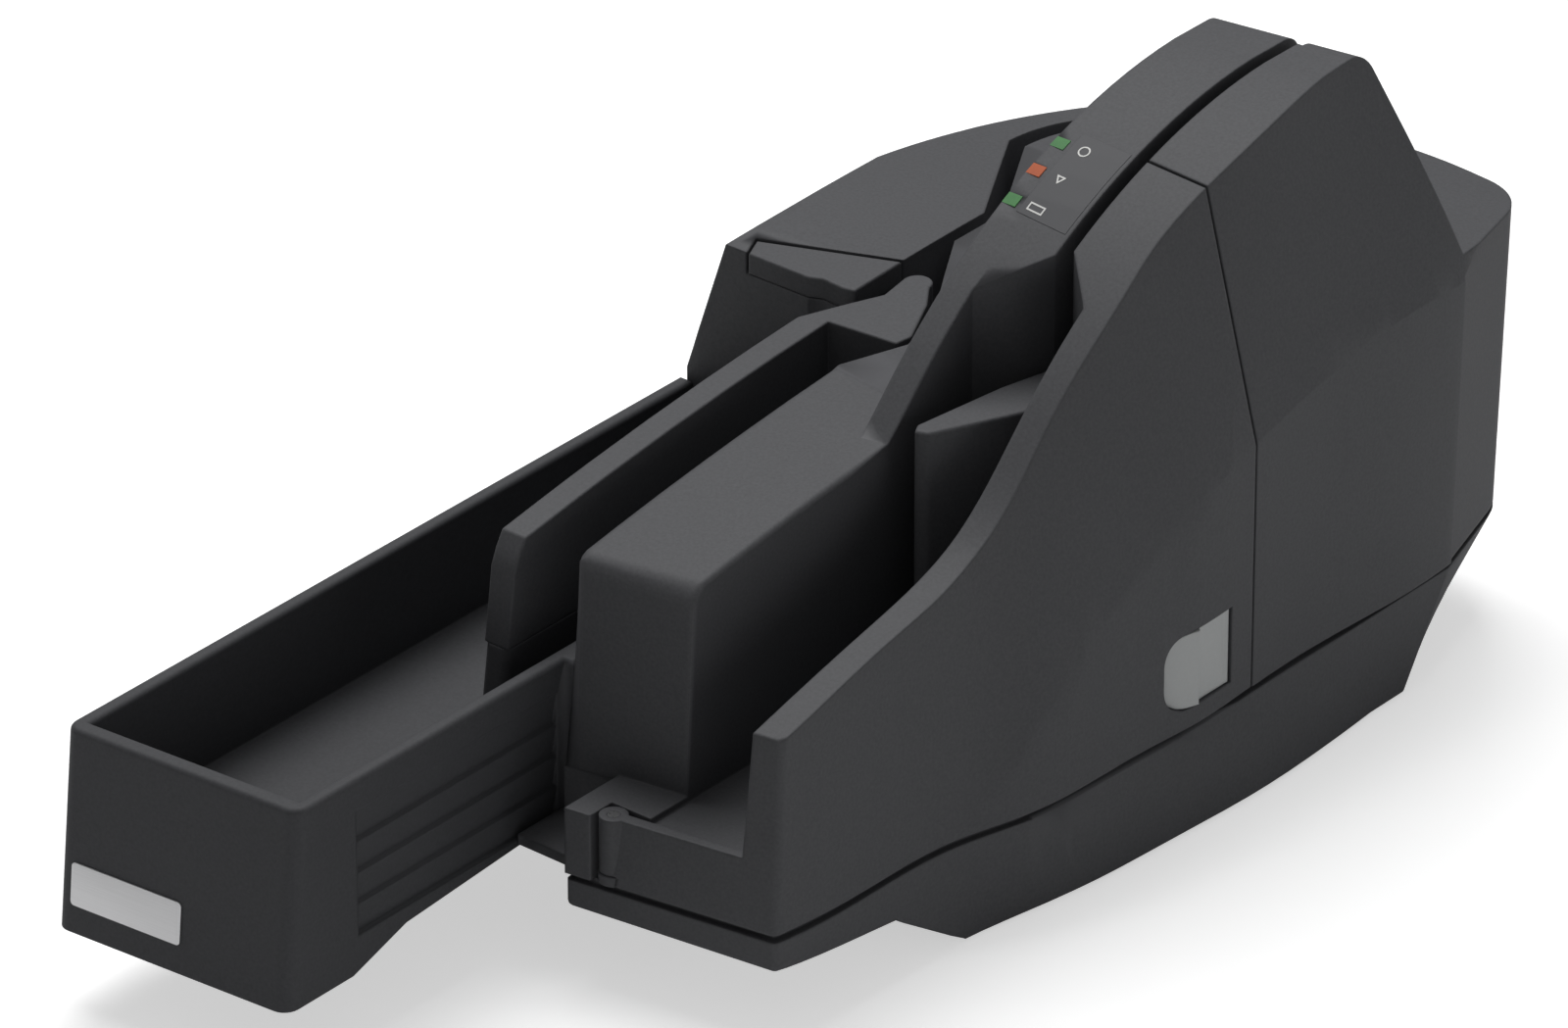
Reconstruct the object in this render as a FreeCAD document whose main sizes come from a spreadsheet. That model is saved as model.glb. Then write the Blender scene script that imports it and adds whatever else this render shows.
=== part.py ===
import FreeCAD, Part
import math
import os
import Sketcher
from FreeCAD import Vector

# Desktop cheque scanner, in millimetres. +X is the machine's right, +Y its rear, +Z up.
# The origin is the middle of the footprint, on the surface that the rubber feet stand on.

doc = FreeCAD.newDocument("ChequeScanner")
sheet = doc.addObject("Spreadsheet::Sheet", "Sizes")

SIZES = [
    # whole body
    ("front_reach", 192.5),
    ("rear_reach", 192.5),
    ("side_reach", 78.0),
    ("left_reach", 81.0),
    ("flank_reach", 79.0),
    ("peak_height", 172.0),
    ("fit_gap", 0.3),
    ("parting_gap", 0.8),
    ("overrun", 5.0),
    # lower case
    ("foot_proud", 1.0),
    ("foot_radius", 7.0),
    ("foot_seat", 1.2),
    ("pan_top", 28.0),
    ("groove_height", 1.6),
    ("groove_depth", 2.2),
    ("pan_wall", 2.8),
    ("pan_floor", 2.6),
    ("nose_left", 6.6),
    ("nose_front", 108.0),
    ("nose_bottom", 21.0),
    ("belly_front", 57.0),
    ("belly_bottom", 16.0),
    ("stand_front", 34.0),
    ("stand_rear", 118.0),
    # low crown that the deck, pocket divider, lid and left housing share
    ("crown_height", 116.1),
    ("crown_place", 90.0),
    ("crown_run", 170.0),
    ("crown_drop", 13.1),
    # pocket tray
    ("tray_bottom", 20.0),
    ("tray_rim", 73.0),
    ("tray_right", 11.0),
    ("tray_wall", 4.0),
    ("tray_front_wall", 5.0),
    ("tray_lean", 5.5),
    ("tray_slant", 5.0),
    ("tray_floor", 43.0),
    ("tray_floor_skin", 3.0),
    ("toe_length", 28.5),
    ("instep_length", 19.0),
    ("tray_instep_rise", 6.0),
    ("tray_waist", 91.0),
    ("tray_end", 38.0),

    ("rib_setback", 30.5),
    ("rib_rear", 90.0),
    ("rib_low", 30.4),
    ("rib_high", 64.5),
    ("rib_depth", 1.6),
    ("rib_land", 0.3),
    # pocket divider
    ("divider_left", 31.5),
    ("divider_thick", 7.5),
    ("divider_front", 97.0),
    ("divider_lean", 7.0),
    ("divider_seam", 72.5),
    ("divider_drop", 1.8),
    ("divider_round", 6.0),
    # centre housing and document track
    ("deck_left", 8.0),
    ("deck_front", 89.0),
    ("deck_lean", 4.0),
    ("ridge_left", 18.3),
    ("rim_width", 7.5),
    ("ridge_width", 21.3),
    ("track_width", 3.6),
    ("hopper_width", 28.2),
    ("throat_front", 21.2),
    ("throat_length", 14.3),
    ("track_floor", 46.0),
    ("lip_height", 47.6),
    ("turn_place", 125.0),
    ("turn_inner", 40.6),
    ("turn_outer", 45.6),
    ("return_inner", 22.7),
    ("fork_place", 74.0),
    # covers
    ("seam_place", 66.0),
    ("front_lean", 16.0),
    ("front_slant", 11.0),
    ("front_panel", 5.0),
    ("panel_left", 17.6),
    ("knuckle_radius", 3.6),
    ("hinge_pin_radius", 1.5),
    ("peak_rear", 131.5),
    ("slope_run", 17.0),
    ("slope_drop", 60.0),
    ("peak_round", 5.0),
    ("left_crease", 76.0),
    ("left_lean", 15.0),
    ("rear_draft", 4.0),
    ("rear_split", 2.0),
    # lid over the endorsing cartridge
    ("lid_left", 62.0),
    ("lid_thick", 6.0),
    ("cartridge_length", 17.0),
    ("cartridge_width", 8.5),
    ("cartridge_height", 40.0),
    ("cartridge_wall", 1.6),
    ("cartridge_setback", 3.2),
    # rollers and their drive
    ("roller_radius", 9.0),
    ("roller_low", 52.0),
    ("roller_length", 24.0),
    ("tyre_thick", 2.5),
    ("shaft_radius", 2.0),
    ("shaft_fit", 0.05),
    ("shaft_end", 5.0),
    ("bearing_length", 6.0),
    ("boss_radius", 4.4),
    ("pinch_radius", 6.0),
    ("feed_radius", 12.0),
    ("feed_proud", 1.6),
    ("feed_place", 8.0),
    ("entry_place", 47.0),
    ("exit_place", 113.0),
    ("return_place", 84.0),
    ("nip_gap", 0.3),
    ("roller_clear", 0.8),
    ("pulley_radius", 7.0),
    ("pulley_low", 19.0),
    ("pulley_height", 6.0),
    ("belt_gap", 0.1),
    ("belt_thick", 1.2),
    ("belt_width", 5.0),
    ("motor_side", 2.0),
    ("motor_place", 40.0),
    ("motor_radius", 12.0),
    ("motor_height", 14.0),
    # reading heads
    ("head_width", 10.0),
    ("head_length", 15.0),
    ("head_low", 47.0),
    ("head_height", 72.0),
    ("head_setback", 0.4),
    ("front_head_place", 72.0),
    ("rear_head_place", 89.0),
    ("magnet_place", 60.0),
    ("magnet_height", 14.0),
    ("magnet_length", 8.0),
    ("magnet_width", 8.0),
    # diverter gate
    ("gate_place", 66.5),
    ("gate_length", 7.0),
    ("gate_thick", 1.2),
    ("gate_pin", 1.1),
    ("gate_height", 56.0),
    ("solenoid_radius", 7.0),
    ("solenoid_height", 13.0),
    # hopper pusher
    ("pusher_x", 46.8),
    ("pusher_y", 28.6),
    ("pusher_top", 118.5),
    ("pusher_pin", 2.5),
    ("pusher_pin_depth", 10.0),
    # latch lever
    ("lever_rear", 56.6),
    ("lever_length", 24.4),
    ("lever_low", 35.6),
    ("lever_height", 20.6),
    ("lever_plate", 3.0),
    ("lever_pin", 1.2),
    ("lever_recess", 6.0),
    # electronics and sockets
    ("board_thick", 1.6),
    ("board_low", 7.0),
    ("board_length", 110.0),
    ("board_width", 30.0),
    ("board_left", 66.0),
    ("standoff_radius", 3.0),
    ("socket_low", 40.0),
    ("socket_proud", 0.5),
    ("inlet_place", 70.0),
    ("inlet_bore", 2.75),
    ("inlet_depth", 9.0),
    ("inlet_body", 11.0),
    ("usb_place", 88.0),
    ("usb_width", 9.2),
    ("usb_height", 8.6),
    ("usb_depth", 10.0),
    ("usb_shell", 0.5),
    ("usb_tongue", 3.2),
    ("switch_place", 104.0),
    ("switch_width", 13.0),
    ("switch_height", 19.0),
    ("switch_depth", 14.0),
    ("switch_rim", 1.2),
    ("rocker_thick", 7.0),
    ("rocker_clear", 0.9),
    # status lamps
    ("lamp_width", 4.0),
    ("lamp_length", 3.4),
    ("lamp_depth", 3.0),
    ("lamp_first", 42.7),
    ("lamp_pitch", 9.2),
]

for row, (name, value) in enumerate(SIZES, 1):
    sheet.set(f"A{row}", name)
    sheet.set(f"B{row}", str(value))
    sheet.setAlias(f"B{row}", name)
doc.recompute()


class Size:
    """A length that carries its value and the formula that drives it."""

    def __init__(self, text, value):
        self.text = text
        self.value = value

    def mix(self, sign, other, value):
        text = other.text if isinstance(other, Size) else repr(other)
        return Size(f"({self.text} {sign} {text})", value)

    def __add__(self, other):
        return self.mix("+", other, self.value + worth(other))

    def __sub__(self, other):
        return self.mix("-", other, self.value - worth(other))

    def __mul__(self, other):
        return self.mix("*", other, self.value * worth(other))

    def __truediv__(self, other):
        return self.mix("/", other, self.value / worth(other))

    def __neg__(self):
        return Size(f"(0 - {self.text})", -self.value)


def worth(thing):
    return thing.value if isinstance(thing, Size) else thing


class Sizes:
    pass


d = Sizes()  # plain numbers, for shapes made by code
s = Sizes()  # bound sizes, for sketches and primitives


def keep(name):
    value = float(sheet.get(name))
    setattr(d, name, value)
    setattr(s, name, Size(f"Sizes.{name}", value))


def derive(name, size):
    """Add a worked-out size to the sheet, driven by the sizes above it."""
    derive.row += 1
    sheet.set(f"A{derive.row}", name)
    sheet.set(f"B{derive.row}", "=" + size.text.replace("Sizes.", ""))
    sheet.setAlias(f"B{derive.row}", name)
    sheet.recompute()
    keep(name)


derive.row = len(SIZES)
for name, value in SIZES:
    keep(name)

derive("deck_bottom", s.pan_top + s.groove_height)
derive("tray_toe", s.front_reach - s.toe_length)
derive("tray_instep", s.tray_toe - s.instep_length)
derive("rib_front", s.front_reach - s.rib_setback)
derive("hopper_left", s.ridge_left + s.rim_width)
derive("hopper_right", s.hopper_left + s.hopper_width)
derive("ridge_right", s.ridge_left + s.ridge_width)
derive("track_right", s.ridge_right + s.track_width)
derive("throat_rear", s.throat_front + s.throat_length)
derive("turn_x", s.ridge_right - s.turn_inner)
derive("return_outer", s.return_inner + s.track_width)
derive("track_middle", s.ridge_right + s.track_width / 2)
derive("return_middle", -s.return_inner - s.track_width / 2)
derive("drive_x", s.track_middle - s.nip_gap / 2 - s.roller_radius)
derive("pinch_x", s.track_middle + s.nip_gap / 2 + s.pinch_radius)
derive("return_x", s.return_middle + s.nip_gap / 2 + s.roller_radius)
derive("return_pinch_x", s.return_middle - s.nip_gap / 2 - s.pinch_radius)
derive("feed_x", s.hopper_left + s.feed_proud - s.feed_radius)
derive("roller_high", s.roller_low + s.roller_length)
derive("shaft_high", s.roller_high + s.bearing_length)
derive("shaft_low", s.roller_low - s.bearing_length)
derive("divider_right", s.divider_thick - s.divider_left)

# Shares chosen by hand of the sizes that each follows.
# spine of the ridges and covers: of the rearward reach and the peak height
spine_shares = (
    (-0.620, 0.4230),
    (-0.452, 0.4780),
    (-0.2857, 0.5210),
    (-0.1039, 0.5850),
    (0.0312, 0.7210),
    (0.1818, 0.8560),
    (0.3429, 0.9440),
    (0.5195, 0.9930),
)
# right side stations: of the rearward reach, the side reach, the peak height, the side reach
side_shares = (
    (-0.620, 0.8100, 0.1640, 0.7420),
    (-0.514, 0.8270, 0.1640, 0.7385),
    (-0.364, 0.8615, 0.1640, 0.7000),
    (-0.200, 0.8833, 0.1640, 0.6920),
    (-0.160, 0.9050, 0.1850, 0.6640),
    (-0.080, 0.9580, 0.2900, 0.5800),
    (0.052, 0.9850, 0.4150, 0.6300),
    (0.171, 1.0, 0.4870, 0.7010),
    (0.343, 1.0, 0.5660, 0.7500),
    (0.540, 1.0, 0.6160, 0.7680),
    (0.779, 1.0, 0.6250, 0.7690),
    (1.150, 1.0, 0.6250, 0.7690),
)
# flank of the lower case at the ground: of the rearward reach and the side reach
stand_shares = (
    (-0.514, 0.8270),
    (-0.364, 0.8615),
    (-0.260, 0.8830),
    (-0.177, 0.8974),
    (-0.073, 0.9410),
    (0.052, 0.9900),
    (0.171, 1.0130),
    (0.343, 1.0400),
    (0.480, 1.0330),
    (0.597, 1.0130),
)
# outline of the body's rear, round from the right flank to the left: of the side reach
# and the rearward reach
rear_shares = (
    (0.9940, 0.7800),
    (0.8850, 0.9300),
    (0.8100, 0.9740),
    (0.6700, 0.9960),
    (0.3200, 1.0),
    (-0.0200, 0.9780),
    (-0.3300, 0.9300),
    (-0.6200, 0.8280),
    (-0.8600, 0.6650),
    (-1.0, 0.5000),
)
# the same, where the lower case meets the ground
stand_rear_shares = (
    (1.0130, 0.6750),
    (0.8700, 0.7700),
    (0.7900, 0.8000),
    (0.6500, 0.8150),
    (0.3200, 0.8250),
    (-0.0200, 0.8250),
    (-0.3000, 0.8200),
    (-0.5600, 0.7800),
    (-0.8400, 0.6600),
    (-0.9300, 0.4800),
)
# notch between deck and track: of the side reach and the rearward reach
notch_shares = ((-0.160, 0.296), (-0.041, 0.219), (0.008, 0.1430))
notch_front_share = 0.0416
# head of the pocket divider, from its front right corner round to its left
head_shares = (
    (-0.0510, 0.1490),
    (-0.0400, 0.1741),
    (-0.1270, 0.2482),
    (-0.1900, 0.2838),
    (-0.2500, 0.3030),
    (-0.2890, 0.2810),
    (-0.2735, 0.2342),
    (-0.3372, 0.1823),
    (-0.4040, 0.1250),
)
# front edge of the housing behind the main pocket, left to right, and the lid's rear seam
pocket_end_shares = (
    (-0.5893, 0.1832),
    (-0.4648, 0.2055),
    (-0.3794, 0.2029),
    (-0.3128, 0.2093),
    (-0.3028, 0.2436),
    (-0.3192, 0.3060),
)
lid_seam_shares = ((-0.7949, 0.2330), (-0.3190, 0.3070))
# hopper pusher in plan: of the reach of its pin from the middle and from the front of the throat
pusher_shares = (
    (0.8400, 1.5660),
    (0.7700, 0.8960),
    (0.6950, -0.3800),
    (0.7300, -0.5200),
    (0.8000, -0.4600),
    (0.9830, 0.4000),
    (1.0360, 0.6600),
    (1.0790, 1.2300),
    (1.0300, 1.4900),
)
keyway_share = 0.5

NODES = []


# ---------------------------------------------------------------- bound features
def bind(thing, prop, size):
    thing.setExpression(prop, size.text if isinstance(size, Size) else repr(size))


def settle(thing, place):
    for axis, size in zip("xyz", place):
        if size is not None:
            bind(thing, f"Placement.Base.{axis}", size)


def keep_node(thing, label):
    thing.Label = label
    NODES.append(thing)
    return thing


def new_body(label, place=(None, None, None)):
    made = doc.addObject("PartDesign::Body", label)
    settle(made, place)
    return keep_node(made, label)


def new_sketch(body, role, level=None):
    sketch = body.newObject("Sketcher::SketchObject", "Sketch")
    plane = next(f for f in body.Origin.OriginFeatures if f.Role == role)
    sketch.AttachmentSupport = [(plane, "")]
    sketch.MapMode = "FlatFace"
    if level is not None:
        bind(sketch, "AttachmentOffset.Base.z", level)
    return sketch


def pin_point(sketch, index, corner):
    """Tie the start of one line to its two sizes."""
    for kind, axis, size in (("DistanceX", -2, corner[0]), ("DistanceY", -1, corner[1])):
        if isinstance(size, Size):
            at = sketch.addConstraint(Sketcher.Constraint(kind, -1, 1, index, 1, size.value))
            bind(sketch, f"Constraints[{at}]", size)
        else:
            sketch.addConstraint(Sketcher.Constraint("PointOnObject", index, 1, axis))


def corner_sketch(body, role, corners, level=None):
    """Closed outline with straight sides, every corner tied to the sheet; 0 lies on an axis."""
    sketch = new_sketch(body, role, level)
    spots = [Vector(worth(x), worth(y), 0) for x, y in corners]
    first = sketch.GeometryCount
    for here, there in zip(spots, spots[1:] + spots[:1]):
        sketch.addGeometry(Part.LineSegment(here, there))
    count = len(spots)
    for i in range(count):
        sketch.addConstraint(Sketcher.Constraint("Coincident", first + i, 2, first + (i + 1) % count, 1))
    for i, corner in enumerate(corners):
        pin_point(sketch, first + i, corner)
    return sketch


def ring_sketch(body, role, circles, level=None):
    """Circles given by centre and radius, tied to the sheet."""
    sketch = new_sketch(body, role, level)
    for x, y, radius in circles:
        at = sketch.addGeometry(Part.Circle(Vector(worth(x), worth(y), 0), Vector(0, 0, 1), radius.value))
        mark = sketch.addConstraint(Sketcher.Constraint("Radius", at, radius.value))
        bind(sketch, f"Constraints[{mark}]", radius)
        if not isinstance(x, Size) and not isinstance(y, Size):
            sketch.addConstraint(Sketcher.Constraint("Coincident", at, 3, -1, 1))
            continue
        for kind, axis, size in (("DistanceX", -2, x), ("DistanceY", -1, y)):
            if isinstance(size, Size):
                mark = sketch.addConstraint(Sketcher.Constraint(kind, -1, 1, at, 3, size.value))
                bind(sketch, f"Constraints[{mark}]", size)
            else:
                sketch.addConstraint(Sketcher.Constraint("PointOnObject", at, 3, axis))
    return sketch


def pad(body, sketch, length, down=False):
    made = body.newObject("PartDesign::Pad", "Pad")
    made.Profile = sketch
    bind(made, "Length", length)
    made.Reversed = down
    return made


def pocket(body, sketch, depth, up=False):
    """Pocket that is checked to take material away."""
    doc.recompute()
    before = body.Shape.Volume
    made = body.newObject("PartDesign::Pocket", "Pocket")
    made.Profile = sketch
    bind(made, "Length", depth)
    made.Reversed = up
    doc.recompute()
    if body.Shape.Volume >= before:
        raise RuntimeError(f"{body.Label}: a pocket cuts nothing")
    return made


def turned(label, place, corners):
    """Round piece about an upright axis, from the half profile of radius and height."""
    made = new_body(label, place)
    sketch = corner_sketch(made, "XZ_Plane", corners)
    spin = made.newObject("PartDesign::Revolution", "Turn")
    spin.Profile = sketch
    spin.ReferenceAxis = (sketch, ["V_Axis"])
    spin.Angle = 360
    return made


def tube(label, place, inner, outer, length):
    return turned(label, place, [(inner, 0), (outer, 0), (outer, length), (inner, length)])


def rod(label, place, radius, length):
    made = doc.addObject("Part::Cylinder", label)
    bind(made, "Radius", radius)
    bind(made, "Height", length)
    settle(made, place)
    return keep_node(made, label)


def brick(label, place, width, length, height):
    made = doc.addObject("Part::Box", label)
    bind(made, "Length", width)
    bind(made, "Width", length)
    bind(made, "Height", height)
    settle(made, place)
    return keep_node(made, label)


# ---------------------------------------------------------------- shapes made by code
def add(label, shape):
    made = doc.addObject("Part::Feature", label)
    made.Shape = shape
    made.Placement = shape.Placement
    return keep_node(made, label)


def lift(point, level):
    return Vector(point[0], point[1], level)


def outline(level, start, steps):
    """Closed wire at one level. A step is an end point, a middle and an end, or a list for a spline."""
    edges = []
    here = start
    for step in steps:
        if isinstance(step, list):
            curve = Part.BSplineCurve()
            curve.interpolate([lift(p, level) for p in [here] + step])
            edges.append(curve.toShape())
            here = step[-1]
        elif isinstance(step[0], tuple):
            edges.append(Part.Arc(lift(here, level), lift(step[0], level), lift(step[1], level)).toShape())
            here = step[1]
        else:
            edges.append(Part.LineSegment(lift(here, level), lift(step, level)).toShape())
            here = step
    if math.dist(here, start) > d.shaft_fit / 10:
        edges.append(Part.LineSegment(lift(here, level), lift(start, level)).toShape())
    return Part.Wire(edges)


def plan(level, height, start, steps):
    return Part.Face(outline(level, start, steps)).extrude(Vector(0, 0, height))


def plan_polygon(level, height, points):
    return plan(level, height, points[0], list(points[1:]))


def block(x0, x1, y0, y1, z0, z1):
    return Part.makeBox(x1 - x0, y1 - y0, z1 - z0, Vector(x0, y0, z0))


def post(x, y, z0, z1, radius):
    return Part.makeCylinder(radius, z1 - z0, Vector(x, y, z0))


def side_prism(points, x0, x1, slope=0.0):
    """Prism across the machine from a polygon of rearward reach and height."""
    corners = [Vector(x0, p[0] + slope * x0, p[1]) for p in points]
    face = Part.Face(Part.makePolygon(corners + corners[:1]))
    return face.extrude(Vector(x1 - x0, slope * (x1 - x0), 0))


def spot(pair):
    return (pair[0] * d.side_reach, pair[1] * d.rear_reach)


nose_width = d.hopper_right - d.nose_left
slant = d.front_slant / (d.side_reach - d.nose_left)
tray_slant = d.tray_slant / (d.left_reach - d.tray_right)


def front_line(x):
    """Rearward place of the slanted nose at a given width."""
    return -d.nose_front + slant * (x - d.nose_left)


def deck_line(x):
    return front_line(x) + d.nose_front - d.deck_front


def crown_level(y):
    away = (y - d.crown_place) / d.crown_run
    return d.crown_height - d.crown_drop * away * away


def under_crown(drop, x0, x1):
    """Everything below the shared low crown, lowered by drop."""
    y0 = d.crown_place - d.crown_run - d.front_reach
    y1 = d.crown_place + d.crown_run
    ym = d.crown_place - d.crown_run / 2
    a, b, c = (Vector(x0, y, crown_level(y) - drop) for y in (y0, ym, y1))
    low_a = Vector(x0, y0, -d.overrun - d.front_reach)
    low_c = Vector(x0, y1, -d.overrun - d.front_reach)
    edges = [Part.Arc(a, b, c).toShape(), Part.makeLine(c, low_c), Part.makeLine(low_c, low_a), Part.makeLine(low_a, a)]
    return Part.Face(Part.Wire(edges)).extrude(Vector(x1 - x0, 0, 0))


# The spine's profile is true at the hopper's right wall and runs across at the nose's slant.
spine_home = d.hopper_right * slant


def under_spine(x0, x1):
    """Everything below the rising spine, its peak and its steep rear slope."""
    knots = [Vector(0, y * d.rear_reach - spine_home, z * d.peak_height) for y, z in spine_shares]
    peak = Vector(0, d.peak_rear - spine_home, d.peak_height)
    fall = Vector(0, d.slope_run, -d.slope_drop).normalize()
    start = peak - Vector(0, d.peak_round, 0)
    turned_down = peak + fall * d.peak_round
    bisector = (start + turned_down) * 0.5 - peak
    angle = math.acos(fall.dot(Vector(0, -1, 0)))
    radius = d.peak_round * math.tan(angle / 2)
    centre = peak + bisector.normalize() * (radius / math.sin(angle / 2))
    middle = centre + (peak - centre).normalize() * radius
    curve = Part.BSplineCurve()
    curve.interpolate(knots + [start])
    foot = peak + Vector(0, d.slope_run, -d.slope_drop)
    base = -d.overrun
    edges = [
        curve.toShape(),
        Part.Arc(start, middle, turned_down).toShape(),
        Part.makeLine(turned_down, foot),
        Part.makeLine(foot, Vector(0, foot.y, base)),
        Part.makeLine(Vector(0, foot.y, base), Vector(0, knots[0].y, base)),
        Part.makeLine(Vector(0, knots[0].y, base), knots[0]),
    ]
    face = Part.Face(Part.Wire(edges))
    face.translate(Vector(x0, slant * x0, 0))
    return face.extrude(Vector(x1 - x0, slant * (x1 - x0), 0))


def right_form():
    """Outer form of the right side: an upright lower facet and a leaning upper facet."""
    wires = []
    for y_share, low_share, crease_share, peak_share in side_shares:
        y = y_share * d.rear_reach
        low = low_share * d.side_reach
        crease = crease_share * d.peak_height
        points = [
            Vector(0, y, -d.overrun),
            Vector(low, y, -d.overrun),
            Vector(low, y, crease),
            Vector(peak_share * d.side_reach, y, d.peak_height),
            Vector(0, y, d.peak_height),
        ]
        wires.append(Part.makePolygon(points + points[:1]))
    return Part.makeLoft(wires, True, False)


def rear_points(level, table=rear_shares, left=0.0):
    """Rear outline at one level, widening by the draft as it rises; left moves the left flank in."""
    rise = (level - d.deck_bottom) / (d.crown_height - d.deck_bottom)
    points = []
    for x_share, y_share in table:
        if x_share < 0:
            x = x_share * (d.flank_reach - left)
        else:
            x = x_share * d.side_reach - (1 - x_share) * 0.0
        points.append((x, y_share * (d.rear_reach - d.rear_draft * (1 - rise))))
    return points


def rear_wire(level):
    p = rear_points(level)
    far = d.side_reach + d.overrun
    split = (d.rear_split + d.fit_gap, p[5][1])
    return outline(
        level,
        (split[0], -d.front_reach),
        [split, (p[4], p[3]), (p[2], p[1]), p[0], (far, p[0][1]), (far, -d.front_reach)],
    )


def left_wire(level, lean):
    p = rear_points(level, rear_shares, lean)
    split = (d.rear_split, p[5][1])
    return outline(
        level,
        (p[9][0], d.tray_end),
        [p[9], (p[8], p[7]), (p[6], split), (d.rear_split, d.tray_end)],
    )


# ---------------------------------------------------------------- places of the rollers
DRIVES = {
    "feed": (s.feed_x, s.feed_place, s.feed_radius),
    "entry": (s.drive_x, s.entry_place, s.roller_radius),
    "exit": (s.drive_x, s.exit_place, s.roller_radius),
    "return": (s.return_x, s.return_place, s.roller_radius),
}
PINCHES = {
    "retard": (s.pinch_x, s.entry_place),
    "exit_pinch": (s.pinch_x, s.exit_place),
    "return_pinch": (s.return_pinch_x, s.return_place),
}


def roller_room(x, y, radius):
    return post(
        worth(x), worth(y), d.roller_low - d.roller_clear, d.roller_high + d.roller_clear, worth(radius) + d.roller_clear
    )


def pin_hole(x, y):
    return post(worth(x), worth(y), d.shaft_low, d.shaft_high, d.shaft_radius)


# ---------------------------------------------------------------- centre housing
notch = [spot(pair) for pair in notch_shares]


def core_plan(level, height, spread):
    """Centre housing in plan; spread widens it over the track, towards the covers."""
    radius = d.turn_inner + spread
    left_x = -d.return_inner - spread
    return plan(
        level,
        height,
        (d.hopper_left, deck_line(d.hopper_left)),
        [
            (d.hopper_left, d.throat_front),
            (d.ridge_right + spread, d.throat_rear),
            (d.ridge_right + spread, d.turn_place),
            ((d.turn_x, d.turn_place + radius), (d.turn_x - radius, d.turn_place)),
            (left_x, d.return_place + d.roller_radius),
            (left_x, d.fork_place),
            notch[0],
            notch[1],
            notch[2],
            (-d.deck_left, notch_front_share * d.rear_reach),
            (-d.deck_left, deck_line(-d.deck_left)),
        ],
    )


# the deck's front face leans back a little
deck_home = deck_line(0)
deck_lean_prism = side_prism(
    [
        (deck_home - d.overrun, -d.overrun),
        (deck_home, d.deck_bottom),
        (deck_home + d.deck_lean, d.crown_height),
        (deck_home + d.deck_lean, d.peak_height),
        (d.rear_reach + d.crown_run, d.peak_height),
        (d.rear_reach + d.crown_run, -d.overrun),
    ],
    -d.side_reach,
    d.side_reach,
    slant,
)
core = core_plan(d.deck_bottom, d.peak_height, 0.0).common(under_crown(0.0, -d.side_reach, d.side_reach))
ridge_end = math.sqrt(d.turn_inner**2 - (d.ridge_left - d.turn_x) ** 2)
ridge_mid = math.atan2(ridge_end, d.ridge_left - d.turn_x) / 2
ridge_plan = plan(
    d.deck_bottom,
    d.peak_height,
    (d.ridge_left, deck_line(d.ridge_left)),
    [
        (d.hopper_left, deck_line(d.hopper_left)),
        (d.hopper_left, d.throat_front),
        (d.ridge_right, d.throat_rear),
        (d.ridge_right, d.turn_place),
        (
            (d.turn_x + d.turn_inner * math.cos(ridge_mid), d.turn_place + d.turn_inner * math.sin(ridge_mid)),
            (d.ridge_left, d.turn_place + ridge_end),
        ),
    ],
)
core = core.fuse(ridge_plan.common(under_spine(0.0, d.side_reach))).common(deck_lean_prism)
# floors of the track and the hopper, and the corner that carries the front cover's hinge
panel_rear = d.front_panel + d.fit_gap
track_bed = core_plan(d.deck_bottom, d.track_floor - d.deck_bottom, d.track_width - d.fit_gap)
hopper_bed = plan_polygon(
    d.deck_bottom,
    d.track_floor - d.deck_bottom,
    [
        (d.hopper_left - d.overrun, front_line(d.hopper_left - d.overrun) + panel_rear),
        (d.hopper_right - d.fit_gap, front_line(d.hopper_right) + panel_rear),
        (d.hopper_right - d.fit_gap, d.throat_front),
        (d.ridge_right, d.throat_rear),
        (d.hopper_left - d.overrun, d.throat_front),
    ],
)
hinge_x = d.panel_left
hinge_y = front_line(d.panel_left) + d.knuckle_radius
ear_x = d.panel_left - d.knuckle_radius - d.fit_gap
corner = plan_polygon(
    d.deck_bottom,
    d.lip_height - d.deck_bottom,
    [
        (d.nose_left, front_line(d.nose_left)),
        (ear_x, front_line(ear_x)),
        (ear_x, hinge_y + d.knuckle_radius + d.fit_gap),
        (d.hopper_left, hinge_y + d.knuckle_radius + d.fit_gap),
        (d.hopper_left, deck_line(d.hopper_left) + d.overrun),
        (d.nose_left, deck_line(d.nose_left) + d.overrun),
    ],
)
ledge_rear = deck_line(-d.deck_left) + d.deck_lean - d.fit_gap
ledge = plan_polygon(
    d.deck_bottom,
    d.pan_wall,
    [
        (-d.tray_right + d.fit_gap, front_line(-d.tray_right) + d.pan_wall * 2),
        (d.nose_left, front_line(d.nose_left) + d.pan_wall),
        (d.nose_left, deck_line(d.nose_left) + d.overrun),
        (-d.deck_left, deck_line(-d.deck_left) + d.overrun),
        (-d.deck_left, ledge_rear),
        (-d.tray_right + d.fit_gap, ledge_rear),
    ],
)
core = core.fuse([track_bed, hopper_bed, corner, ledge])
core = core.cut(post(hinge_x, hinge_y, d.deck_bottom - d.overrun, d.peak_height / 2, d.knuckle_radius + d.fit_gap))
core = core.fuse(
    post(hinge_x, hinge_y, d.deck_bottom, d.deck_bottom + d.pan_floor, d.knuckle_radius + d.fit_gap)
)
core = core.cut(post(hinge_x, hinge_y, d.deck_bottom, d.lip_height, d.hinge_pin_radius))
for x, y, radius in DRIVES.values():
    core = core.cut(roller_room(x, y, radius))
    core = core.cut(post(x.value, y.value, 0, d.shaft_high, d.shaft_radius + d.shaft_fit))
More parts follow.
